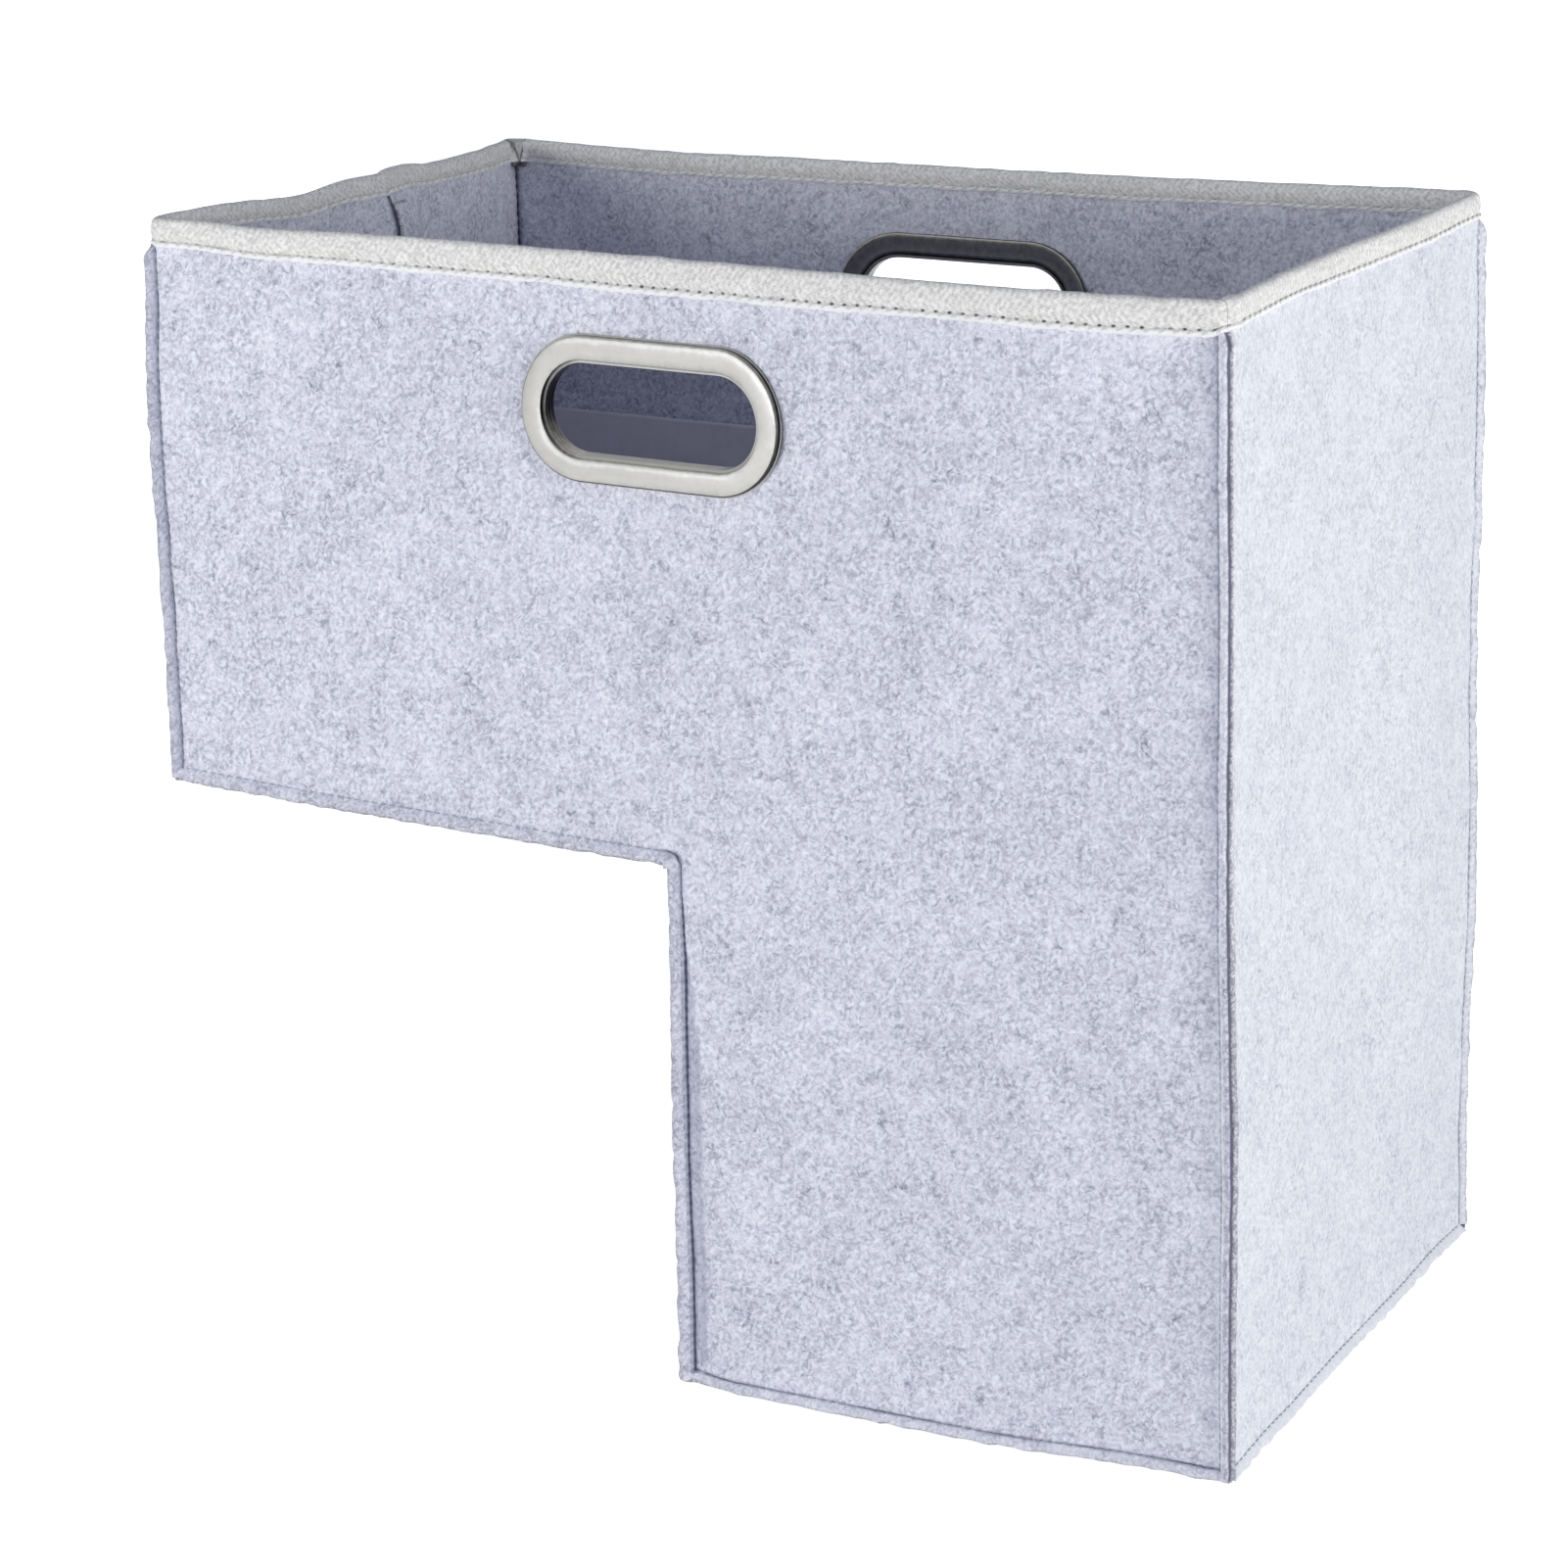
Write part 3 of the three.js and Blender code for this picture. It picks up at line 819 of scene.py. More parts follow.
@dataclass(frozen=True)
class TapeFinish:
    """Off-white cotton twill tape: diagonal ribs of spun yarn, a little greyed."""

    light: Triple = srgb(253, 252, 248)
    shade: Triple = srgb(208, 206, 202)
    greyed: Triple = srgb(206, 206, 200)
    selvedge: Triple = srgb(255, 255, 255)
    # The painted shade in the needle holes and in a fold of the tape.
    hole: Triple = srgb(78, 76, 82)
    folded: Triple = srgb(58, 56, 70)
    rib_pitch: float = 2.4 * MM
    hole_radius: float = 0.85 * MM

    def material(self) -> bpy.types.Material:
        """Builds the twill from the UV map, which runs along and across the tape in metres.

        The attribute stitch holds the distances along the tape and from its edge and the
        depth of the needle holes' painted shade, and crease holds the painted shade of a fold.
        """
        n = Nodes("twill_tape")
        gauge = TapeGauge()
        uv = n.parts(n.add("ShaderNodeUVMap", uv_map="weave").outputs["UV"])
        place = n.millimetres()
        wander = n.times(n.minus(n.cloud(place, 0.5, 2), 0.5), 0.5)
        along, across = (n.times(part, 1 / self.rib_pitch) for part in uv[:2])
        fold = n.math("PINGPONG", across, 2.4)
        phase = n.plus(n.plus(along, n.times(fold, 0.7)), wander)
        rib = n.math("SINE", n.times(phase, 2 * math.pi))
        twist = n.minus(along, n.times(across, 2.2))
        yarn = n.math("SINE", n.times(twist, 2 * math.pi))
        height = n.plus(n.times(rib, 0.16), n.times(yarn, 0.08))
        fuzz = n.span(n.cloud(place, 0.75, 2, 0.6), 0.30, 0.70, False)
        height = n.plus(height, fuzz)
        colour = n.mix(n.span(height, 0.0, 0.9, False), self.shade, self.light)
        tone = n.span(n.cloud(place, 0.12, 2), 0.3, 0.7)
        colour = n.mix(n.times(tone, 0.16), colour, self.greyed)
        # Painted shade at the needle holes, patchy along the row.
        run, from_edge, depth = n.parts(n.attribute("stitch").outputs["Vector"])
        turn = n.math("FRACT", n.plus(n.times(run, 1 / gauge.stitch_pitch), 0.5))
        u = n.times(n.minus(turn, 0.5), gauge.stitch_pitch / self.hole_radius)
        v = n.times(n.minus(from_edge, gauge.stitch_height), 1 / self.hole_radius)
        spot = n.flipped(n.span(n.hypot(u, v), 0.35, 1.25))
        line = n.flipped(n.span(n.math("ABSOLUTE", v), 0.2, 1.3))
        patchy = n.span(n.cloud(place, 0.22, 2), 0.30, 0.55)
        spot = n.times(spot, n.scaled(patchy, 0.75, 0.2))
        shade = n.times(n.plus(spot, n.times(line, 0.08)), depth)
        selvedge = n.flipped(n.span(from_edge, 1.3 * MM, 1.9 * MM))
        colour = n.mix(n.times(selvedge, 0.75), colour, self.selvedge)
        colour = n.mix(shade, colour, self.hole)
        colour = n.mix(n.attribute("crease").outputs["Fac"], colour, self.folded)
        n.set("Base Color", colour)
        n.set("Roughness", 0.88)
        n.set("Specular IOR Level", 0.2)
        n.set("Sheen Weight", 0.1)
        n.set("Normal", n.bump(height, 0.8, 0.16 * MM))
        return n.material


@dataclass(frozen=True)
class ThreadFinish:
    """Spun polyester sewing thread."""

    name: str
    colour: Triple
    dark: Triple

    def material(self) -> bpy.types.Material:
        """Builds the thread, with a faint twist and fuzz from Object coordinates."""
        n = Nodes(self.name)
        place = n.millimetres()
        fuzz = n.cloud(place, 2.2, 3, 0.6)
        n.set("Base Color", n.mix(n.span(fuzz, 0.35, 0.7), self.dark, self.colour))
        n.set("Roughness", 0.6)
        n.set("Normal", n.bump(fuzz, 0.5, 0.1 * MM))
        return n.material


@dataclass(frozen=True)
class SteelFinish:
    """Nickel-plated steel with a satin grain that runs across the pressing.

    sheens are the colours of a painted sheen, by the attribute sheen, from -1 at 0 to 1
    at 1. Painted shade lies where the attribute recess says.
    """

    sheens: tuple[tuple[float, Triple], ...] = (
        (0.0, srgb(160, 159, 155)),
        (0.50, srgb(178, 177, 173)),
        (0.66, srgb(192, 191, 188)),
        (0.78, srgb(222, 222, 218)),
        (0.90, srgb(222, 222, 218)),
        (1.0, srgb(184, 183, 180)),
    )
    grime: Triple = srgb(34, 32, 31)

    def material(self) -> bpy.types.Material:
        """Builds the steel: fine scratches stretched along X in bump and roughness."""
        n = Nodes("satin_steel")
        place = n.millimetres()
        stretch = n.vector_math("MULTIPLY", place, (0.12, 1.0, 3.2))
        scratch = n.cloud(stretch, 1.6, 4, 0.65)
        cloud = n.minus(n.cloud(place, 0.12, 2), 0.5)
        # A painted sheen: the plate colour follows an attribute that is brighter where the front ring's
        # face looks up, with a random cloud.
        sheen = n.scaled(cloud, 0.5, n.attribute("sheen").outputs["Fac"])
        plate = n.ramp(n.scaled(sheen, 0.5, 0.5), *self.sheens)
        mottle = n.minus(n.cloud(place, 0.45, 3, 0.6), 0.5)
        # Painted shade in the ring's corners, groove, foot and barrel, with a random mottle.
        recess = n.attribute("recess").outputs["Fac"]
        room = n.times(n.flipped(recess), n.plus(recess, 0.12))
        dark = n.plus(recess, n.times(n.times(mottle, room), 2.2))
        plate = n.mix(n.span(dark, 0.0, 1.0, False), plate, self.grime)
        n.set("Base Color", plate)
        n.set("Metallic", 1.0)
        rough = n.scaled(scratch, 0.16, 0.22)
        n.set("Roughness", rough)
        n.set("Normal", n.bump(scratch, 0.25, 0.03 * MM))
        return n.material


@dataclass(frozen=True)
class BoardFinish:
    """The smooth dark facing of the stiffener boards."""

    colour: Triple = srgb(230, 226, 232)
    dark: Triple = srgb(220, 216, 222)

    def material(self) -> bpy.types.Material:
        """Builds the board: a fine leathery grain with faint scuffs."""
        n = Nodes("liner_board")
        place = n.millimetres()
        grain = n.cloud(place, 1.4, 4, 0.6)
        scuff = n.cloud(place, 0.08, 3, 0.6)
        n.set("Base Color", n.mix(n.span(scuff, 0.3, 0.7), self.dark, self.colour))
        n.set("Roughness", n.scaled(grain, 0.2, 0.45))
        n.set("Normal", n.bump(grain, 0.3, 0.08 * MM))
        return n.material


class Workshop:
    """The gauges, finishes and the slack map that every sub-assembly is made with."""

    def __init__(self) -> None:
        """Reads the planes from the frame and makes each material once."""
        self.felt = Felt()
        self.planes = Planes.of_frame(self.felt)
        self.slack = Slack(self.planes, self.felt)
        self.grey_felt = FeltFinish().material(self.felt)
        # The right end's felt is a copy with less contrast and a paler ground: painted light on the
        # brightly lit right end.
        smooth = FeltFinish("smooth_grey_felt", 0.6, pale=srgb(250, 252, 255), ground=srgb(227, 230, 236))
        self.end_felt = smooth.material(self.felt)
        self.twill = TapeFinish().material()
        white = ThreadFinish("white_thread", srgb(240, 240, 238), srgb(206, 206, 204))
        self.white_thread = white.material()
        grey = ThreadFinish("grey_thread", srgb(186, 188, 200), srgb(150, 152, 166))
        self.grey_thread = grey.material()
        self.steel = SteelFinish().material()
        self.board = BoardFinish().material()
        self.relief = Waves(8 * MM, 11, 32)
        self.ragged = Waves(4.5 * MM, 13, 32)
        self.swell = Waves(30 * MM, 12, 24)


def with_ledges(lines: Array, ledges: Sequence[float]) -> Array:
    """Lines along z with close ones added below each ledge, where a corner seam stops."""
    beside = np.array([-1.4, -0.9, -0.5, -0.2, 0.0]) * MM
    extra = np.unique((np.array(ledges)[:, None] + beside).ravel())
    extra = extra[np.concatenate([[True], np.diff(extra) > 0.08 * MM])]
    lines = lines[np.abs(lines[:, None] - extra).min(1) > 0.25 * MM]
    return np.sort(np.concatenate([lines, extra]))


class FeltSheet:
    """A sheet of felt: a middle surface over a grid, swollen by half its thickness each way.

    The grid's two directions are a and b, and out is the distance outside the body's face.
    Subclasses say where the sheet lies, where it is sewn and where it ends.

    Attributes:
        step: From one grid line to the next.
        relief_height: How high the fine unevenness stands.
        swell_height: How high the coarse unevenness stands.
        shift: How far the bend lies outside its usual place.
        gauge: The thickness as a share of the felt's.
        inner_shade: How dark the stitch line's painted shade is inside, as a share of outside.
        raw_share: How strongly a cut edge shows.
    """

    step = 1.75 * MM
    relief_height = 0.07 * MM
    swell_height = 0.18 * MM
    shift = 0.0
    gauge = 1.0
    inner_shade = 0.8
    raw_share = 1.0

    def __init__(self, shop: Workshop) -> None:
        """Keeps the workshop's gauges at hand."""
        self.shop = shop
        self.felt = shop.felt
        self.planes = shop.planes

    def lines(self) -> tuple[Array, Array]:
        """The grid lines along a and b."""
        raise NotImplementedError

    def outset(self, a: Array, b: Array) -> Array:
        """How far a point stands outside the nearest neighbouring face that it is sewn to."""
        raise NotImplementedError

    def to_edge(self, a: Array, b: Array) -> Array:
        """The distance to the nearest free edge, where the sheet is rounded off."""
        raise NotImplementedError

    def kept(self, a: Array, b: Array) -> Array:
        """Whether the sheet covers a point: everywhere, unless a subclass says otherwise."""
        return np.ones_like(a, bool)

    def place(self, a: Array, b: Array, out: Array) -> Array:
        """The point in space."""
        raise NotImplementedError

    def along(self, a: Array, b: Array) -> Array:
        """The distance along the nearest sewn edge, for the needle holes: b if it is upright."""
        return b

    def to_raw(self, a: Array, b: Array) -> Array:
        """The distance along a ply to its raw edge, root 2 longer than the outset's."""
        return (self.felt.tip - self.outset(a, b)) * math.sqrt(2)

    def lift(self, a: Array, b: Array) -> Array:
        """Any dent or swelling of this sheet alone."""
        return np.zeros_like(a)

    def shade(self, a: Array, b: Array) -> Array:
        """How dark the painted shade of the outer face's stitch line is."""
        return np.full_like(a, 0.6)

    def pressed(self, a: Array, b: Array) -> Array:
        """The painted seam shade on the outer face, and painted light where it is below 0."""
        return np.zeros_like(a)

    def pressed_inside(self, a: Array, b: Array) -> Array:
        """The painted shade of the inner face, close to an inside corner."""
        return np.zeros_like(a)

    def taper(self, a: Array, b: Array) -> Array:
        """How far a ply is drawn back near its upper end."""
        return np.zeros_like(a)

    def line_distance(self, a: Array, b: Array) -> Array:
        """The signed distance from the stitch line."""
        return self.outset(a, b) - self.felt.bend - self.shift + 0.15 * MM

    def ruffled(self, a: Array, b: Array) -> tuple[Array, Array, Array]:
        """Lets the plies end unevenly: they are stretched along themselves by a wave.

        Returns:
            The shifted a and b, and what is added to out, each the wave times the share of
            the way from the bend to the raw edge.
        """
        e = 0.01 * MM
        outset = self.outset(a, b)
        slope_a = (self.outset(a + e, b) - self.outset(a - e, b)) / (2 * e)
        slope_b = (self.outset(a, b + e) - self.outset(a, b - e)) / (2 * e)
        flat = self.place(a, b, np.zeros_like(a))
        wave = 0.07 * MM * self.shop.ragged.at(flat) + 0.14 * MM * self.shop.relief.at(flat + 0.05)
        wave = (wave - self.taper(a, b)) * smoothstep(outset, self.felt.bend, self.felt.tip)
        return a + slope_a * wave, b + slope_b * wave, wave

    def made(self) -> Made:
        """Works the sheet out.

        The middle lies half a thickness inside the face and turns out at 45 degrees past the
        bend, by r log(1 + exp((outset - bend) / r)). The half thickness is a quarter ellipse
        at a free edge, less a pinch exp(-(d / w)^2) at the stitch line that deepens at each
        stitch.

        Returns:
            The closed mesh, moved by the slack map.
        """
        felt = self.felt
        a, b = np.meshgrid(*self.lines(), indexing="ij")
        outset = self.outset(a, b)
        flat = self.place(a, b, np.zeros_like(a))
        relief = self.relief_height * self.shop.relief.at(flat)
        relief = relief + self.swell_height * self.shop.swell.at(flat)
        turn = (outset - felt.bend - self.shift) / felt.bend_radius
        out = -felt.half + felt.bend_radius * np.logaddexp(0, turn) + self.lift(a, b)
        quiet = smoothstep(self.to_edge(a, b), 0, 6 * MM)
        end_a, end_b, added = self.ruffled(a, b)
        out = out + added
        middle = self.place(end_a, end_b, out + relief * (0.35 + 0.65 * quiet))
        normal = unit(np.cross(np.gradient(middle, axis=0), np.gradient(middle, axis=1)))
        outward = self.place(a, b, out + MM) - self.place(a, b, out)
        normal *= np.sign(np.einsum("ijk,ijk->ij", normal, outward))[..., None]
        edge = np.clip(self.to_edge(a, b) / felt.edge_round, 0, 1)
        half = np.maximum(self.gauge * felt.half * np.sqrt(1 - (1 - edge) ** 2), felt.edge_least)
        across = self.line_distance(a, b)
        along = self.along(a, b)
        stitches = 0.62 + 0.38 * np.cos(2 * math.pi * (along / felt.stitch_pitch - 0.5))
        half = half * (1 - 0.42 * hump(across, 0.8 * MM) * stitches)
        outer = self.shop.slack.moved(middle + normal * half[..., None])
        inner = self.shop.slack.moved(middle - normal * half[..., None])
        centre_a = (a[:-1, :-1] + a[1:, 1:]) / 2
        centre_b = (b[:-1, :-1] + b[1:, 1:]) / 2
        used, faces = shell(outer, inner, self.kept(centre_a, centre_b))
        points = np.concatenate([outer.reshape(-1, 3), inner.reshape(-1, 3)])
        raw = self.raw_share * (1 - smoothstep(self.to_edge(a, b), 0.4 * MM, 1.5 * MM)).ravel()
        marks = np.stack([along, across, self.shade(a, b)], -1).reshape(-1, 3)
        # The outer face carries the painted seam shade and light, the inner face the painted corner shade.
        pressed, inside = self.pressed(a, b).ravel(), self.pressed_inside(a, b).ravel()
        values = {
            "raw_edge": np.concatenate([raw, raw])[used],
            "stitch": np.concatenate([marks, marks * (1, 1, self.inner_shade)])[used],
            "pressed": np.concatenate([pressed, inside])[used],
        }
        return Made(points[used], faces, values=values)


class WallSheet(FeltSheet):
    """A long wall: the L, sewn along all its edges but the rim, with the hand hole cut out.

    Attributes:
        corner_clear: How wide the notch above a corner seam is.
        step_round: How widely the step corner's outset is rounded.
        near_step: How far past the step corner its seams still are the nearest ones.
        step_run: How far along the overhang's level the riser's seam is the nearest one.
    """

    corner_clear = 6.5 * MM
    step_round = 5.0 * MM
    near_step = 4.0 * MM
    step_run = 30 * MM
    raw_share = 0.45

    def __init__(self, shop: Workshop, side: Side, handle: "Handle", tape: "TapeGauge") -> None:
        """Takes the wall's side and the hand hole and tape that it carries."""
        super().__init__(shop)
        self.side = side
        self.handle = handle
        self.ledges = {end: tape.ledge(self.planes, end, side) for end in End}

    def ledge(self, x: Array) -> Array:
        """Where the nearer corner seam stops, under the tape."""
        left = x < (self.planes.left + self.planes.right) / 2
        return np.where(left, self.ledges[End.LEFT], self.ledges[End.RIGHT])

    def lines(self) -> tuple[Array, Array]:
        """Lines along x and z, close together beside the sewn edges."""
        p, tip = self.planes, self.felt.tip
        along_x = graded_lines(p.left - tip, p.right + tip, self.step,
                               [(p.left - tip, 1), (p.riser - tip, 1), (p.right + tip, -1)])
        along_z = graded_lines(p.bottom - tip, p.top, self.step,
                               [(p.bottom - tip, 1), (p.overhang - tip, 1)])
        return along_x, with_ledges(along_z, list(self.ledges.values()))

    def _ends(self, x: Array) -> Array:
        """The outset past the nearer end."""
        return np.maximum(self.planes.left - x, x - self.planes.right)

    def outset(self, a: Array, b: Array) -> Array:
        """The greatest outset of the L's edges. The step corner takes the lesser of its two."""
        p = self.planes
        step = smooth_least(p.riser - a, p.overhang - b, self.step_round)
        return np.maximum(np.maximum(self._ends(a), p.bottom - b), step)

    def to_edge(self, a: Array, b: Array) -> Array:
        """The corners stop at the ledge."""
        sewn = self.to_raw(a, b)
        corner = self._ends(a) > -self.corner_clear
        up = np.where(corner, self.ledge(a) - b, self.planes.top - b)
        notch = np.where(~corner & (b > self.ledge(a)), -self._ends(a) - self.corner_clear, 1.0)
        return np.maximum(np.minimum(np.minimum(sewn, up), notch), 0)

    def kept(self, a: Array, b: Array) -> Array:
        """Inside the L, below the ledge at the corners, and outside the hand hole."""
        corner = (self._ends(a) > -self.corner_clear) & (b > self.ledge(a))
        hole = self.handle.distance(a, b) < self.handle.hole_height / 2 + 1.4 * MM
        return (self.outset(a, b) < self.felt.tip) & ~corner & ~hole

    def place(self, a: Array, b: Array, out: Array) -> Array:
        """x is a, z is b, and out points away from the basket along y."""
        return np.stack([a, self.planes.face_y(self.side) + self.side.value * out, b], -1)

    def along(self, a: Array, b: Array) -> Array:
        """Stitches run along z beside upright edges and along x beside level ones."""
        p = self.planes
        step_corner = (a < p.riser + 6 * MM) & (b < p.overhang + 6 * MM)
        elsewhere = np.where(p.bottom - b > self._ends(a), a, b)
        return np.where(step_corner, np.where(b < p.overhang, b, a), elsewhere)

    def lift(self, a: Array, b: Array) -> Array:
        """A long narrow hollow beside the riser's seam, which widens downwards."""
        p = self.planes
        inside = a - p.riser - self.felt.groove
        reach = (3.0 + 3.6 * smoothstep(-b, -p.overhang + 20 * MM, -p.overhang + 90 * MM)) * MM
        hollow = hump(np.clip(inside, 0, None), reach) * smoothstep(inside, -1.5 * MM, 0.3 * MM)
        below = smoothstep(-b, -p.overhang + 6 * MM, -p.overhang + 40 * MM)
        return -1.7 * MM * hollow * below

    def _beside(self, a: Array, b: Array) -> dict[str, Array]:
        """Where each seam is the nearest one: left, right, riser, overhang or bottom."""
        p = self.planes
        step = np.minimum(p.riser - a, p.overhang - b)
        outer = np.maximum(self._ends(a), p.bottom - b)
        level = p.bottom - b > self._ends(a)
        high, far = b >= p.overhang + self.near_step, a >= p.riser + self.step_run
        return {
            "left": (step <= outer) & ~level & (a < (p.left + p.right) / 2),
            "right": (step <= outer) & ~level & (a > (p.left + p.right) / 2),
            "bottom": (step <= outer) & level,
            "riser": (step > outer) & ~high & ~far,
            "overhang": (step > outer) & (high | far),
        }

    def shade(self, a: Array, b: Array) -> Array:
        """The needle holes' painted shade: plain beside the upright seams, faint along the level ones."""
        depth = {"left": 0.5, "right": 0.85, "riser": 0.6, "overhang": 0.0, "bottom": 0.75}
        near, p = self._beside(a, b), self.planes
        level = (b < p.overhang + self.near_step) & (a < p.riser - 3 * MM) & near["riser"]
        return sum(near[name] * value for name, value in depth.items()) * ~level

    def pressed(self, a: Array, b: Array) -> Array:
        """The painted shade beside each seam, and painted light where it is below 0.

        With d the distance outwards from the stitch line: left, exp(-d / 2.6 mm) outwards and
        sharp inwards; right, a line and a soft shade inwards above, and a pale line with
        darker plies low down; riser, a line that dies out round the step corner and, lower
        down, a dim hollow with an edge of its own; overhang, pale plies; bottom, a blurred
        line with pale plies.
        """
        p = self.planes
        d = self.line_distance(a, b)
        inside, outside = np.clip(-d, 0, None), np.clip(d, 0, None)
        uneven = 1 + 0.35 * self.shop.swell.at(self.place(a, b, np.zeros_like(a)))
        near = self._beside(a, b)
        low = low_seam_and_raw_tint(b)
        soft = 0.36 * uneven * np.exp(-inside / (3.0 * MM)) * (d < 0.2 * MM) * (1 - 0.6 * low)
        right = np.maximum(0.5 * (1 - low) * hump(d, 0.70 * MM), soft)
        right = right - 0.8 * low * hump(d, 1.3 * MM)
        blurred = 0.85 * hump(d, 0.95 * MM) * np.clip(uneven, 0.3, 1.3)
        riser = self._riser_shade(d, p.overhang - b)
        shades = {
            "left": 0.97 * np.exp(-outside / (2.6 * MM) - (inside / (0.30 * MM)) ** 2),
            "right": right + (-0.25 + 0.47 * low) * smoothstep(d, 1.2 * MM, 2.2 * MM),
            "riser": riser * smoothstep(a, p.riser - 7 * MM, p.riser - 1 * MM),
            "overhang": -0.5 * smoothstep(d, -1 * MM, 0.5 * MM),
            "bottom": blurred - 0.25 * smoothstep(d, 0, 1 * MM),
        }
        return np.clip(sum(near[name] * value for name, value in shades.items()), -1, 1)

    def _riser_shade(self, d: Array, down: Array) -> Array:
        """The painted shade along the riser's seam, at a distance d from it and down from the overhang."""
        inside, outside = np.clip(-d, 0, None), np.clip(d, 0, None)
        strip = np.exp(-outside / (2.4 * MM) - (inside / (0.3 * MM)) ** 2)
        width = 5.5 * MM * smoothstep(down, 16 * MM, 75 * MM)
        past = smoothstep(inside - width, -0.5 * MM, 0.3 * MM)
        band = smoothstep(inside, 0.1 * MM, 0.6 * MM) * (1 - past)
        rim = hump(inside - width, 0.55 * MM) * smoothstep(width, 0.6 * MM, 2 * MM)
        riser = np.maximum(hump(d, 0.80 * MM), 0.5 * band * smoothstep(down, 16 * MM, 26 * MM))
        riser = np.maximum(riser, 0.55 * strip * (1 - 0.5 * smoothstep(down, 60 * MM, 150 * MM)))
        return np.maximum(riser, 0.62 * rim)

    def pressed_inside(self, a: Array, b: Array) -> Array:
        """A painted shade line up each inside corner, exp(-distance / 1.1 mm)."""
        away = np.clip(-self._ends(a) - self.felt.thickness, 0, None)
        return 0.95 * np.exp(-away / (1.1 * MM))

    def taper(self, a: Array, b: Array) -> Array:
        """The corner plies narrow into the tape."""
        return into_tape(self.ledge(a) - b) * (self._ends(a) > -6 * MM)


class EndSheet(FeltSheet):
    """One of the three lengths of an end, between its cut lines or sewn edges."""

    cut = 26 * MM

    def __init__(self, shop: Workshop, end: End, strip: Strip, tape: "TapeGauge", tail: bool) -> None:
        """Takes which length this is.

        Args:
            shop: The workshop.
            end: Left or right.
            strip: Front, crease or rear.
            tape: Gives the ledge where the seams stop.
            tail: Whether the length starts in a tail that turns about the corner axis.
        """
        super().__init__(shop)
        self.end = end
        self.strip = strip
        self.tail = tail
        self.shift = self.felt.ply_gap * math.sqrt(2)
        side = Side.BACK if strip is Strip.REAR else Side.FRONT
        self.ledge = tape.ledge(self.planes, end, side)
        self.floor = self.planes.floor_z(end) + self.felt.groove - 0.2 * MM
        self.tail_length = 3.2 * MM
        self.creased = strip is Strip.CREASE and end is End.LEFT

    def lines(self) -> tuple[Array, Array]:
        """Lines along y and z."""
        p = self.planes
        reach = p.depth_half + self.felt.tip
        if self.strip is Strip.CREASE:
            along_y = np.linspace(-self.cut, self.cut, 2 * round(self.cut / self.step) + 1)
            fine = np.array([0, 0.35, 0.75, 1.2, 1.7]) * MM
            along_y = along_y[np.abs(along_y) > 2.0 * MM]
            along_y = np.sort(np.concatenate([along_y, fine, -fine[1:]]))
        elif self.tail:
            along_y = np.linspace(-p.hinge_y, -self.cut, round((p.hinge_y - self.cut) / self.step) + 1)
            tail = -p.hinge_y - np.linspace(self.tail_length, 0, 8)[:-1]
            along_y = np.concatenate([tail, along_y])
        else:
            along_y = graded_lines(-reach, -self.cut, self.step, [(-reach, 1)])
        if self.strip is Strip.REAR:
            along_y = -along_y[::-1]
        along_z = graded_lines(self.floor, p.top, self.step, [(self.floor, 1)])
        return along_y, with_ledges(along_z, [self.ledge])

    def outset(self, a: Array, b: Array) -> Array:
        """The outset past the long walls. The tail isn't sewn."""
        if self.tail:
            return np.full_like(a, -1.0)
        return np.abs(a) - self.planes.depth_half

    def to_edge(self, a: Array, b: Array) -> Array:
        """The lower edge lies in the floor seam's groove. Cut lines aren't edges."""
        sewn = self.to_raw(a, b)
        corner = self.outset(a, b) > -WallSheet.corner_clear
        up = np.where(corner, self.ledge - b, self.planes.top - b)
        lower = b - self.floor + 0.35 * MM
        return np.maximum(np.minimum(np.minimum(sewn, up), lower), 0)

    def kept(self, a: Array, b: Array) -> Array:
        """Everywhere but the corners above the ledge."""
        corner = (self.outset(a, b) > -WallSheet.corner_clear) & (b > self.ledge)
        return ~corner

    def place(self, a: Array, b: Array, out: Array) -> Array:
        """y is a, z is b. Past the corner axis the tail is an arc about that axis."""
        p = self.planes
        face, sign = p.face_x(self.end), self.end.value
        flat = np.stack([face + sign * out, a, b], -1)
        if not self.tail:
            return flat
        axis_in = self.felt.thickness + 1.0 * MM
        turn = np.clip(-p.hinge_y - a, 0, None) / (axis_in - self.felt.half)
        reach = axis_in + out
        arc_x = face - sign * axis_in + sign * reach * np.cos(turn)
        arc = np.stack([arc_x, -p.hinge_y - reach * np.sin(turn), b], -1)
        return np.where((a < -p.hinge_y)[..., None], arc, flat)

    def line_distance(self, a: Array, b: Array) -> Array:
        """The left end is two pieces of felt, sewn together at its crease."""
        return a if self.creased else super().line_distance(a, b)

    def pressed_inside(self, a: Array, b: Array) -> Array:
        """A painted shade line up each inside corner, and one along the left end's crease."""
        away = np.clip(-self.outset(a, b) - self.felt.thickness, 0, None)
        corner = 0.95 * np.exp(-away / (1.1 * MM)) if not self.tail else np.zeros_like(a)
        crease = 0.97 * hump(a, 1.3 * MM) if self.creased else np.zeros_like(a)
        return np.maximum(corner, crease)

    def pressed(self, a: Array, b: Array) -> Array:
        """A faint painted shade line beside each corner seam."""
        if self.strip is Strip.CREASE or self.tail:
            return np.zeros_like(a)
        depth = 0.35
        if self.end is End.RIGHT:
            depth = 0.10 + 0.3 * (1 - smoothstep(b, 90 * MM, 130 * MM)) * (a > 0)
        return depth * hump(self.line_distance(a, b), 0.7 * MM)

    def taper(self, a: Array, b: Array) -> Array:
        """The corner plies narrow into the tape."""
        return into_tape(self.ledge - b)

    def lift(self, a: Array, b: Array) -> Array:
        """The crease seam is a groove."""
        if not self.creased:
            return np.zeros_like(a)
        return -0.45 * MM * hump(a, 1.0 * MM)


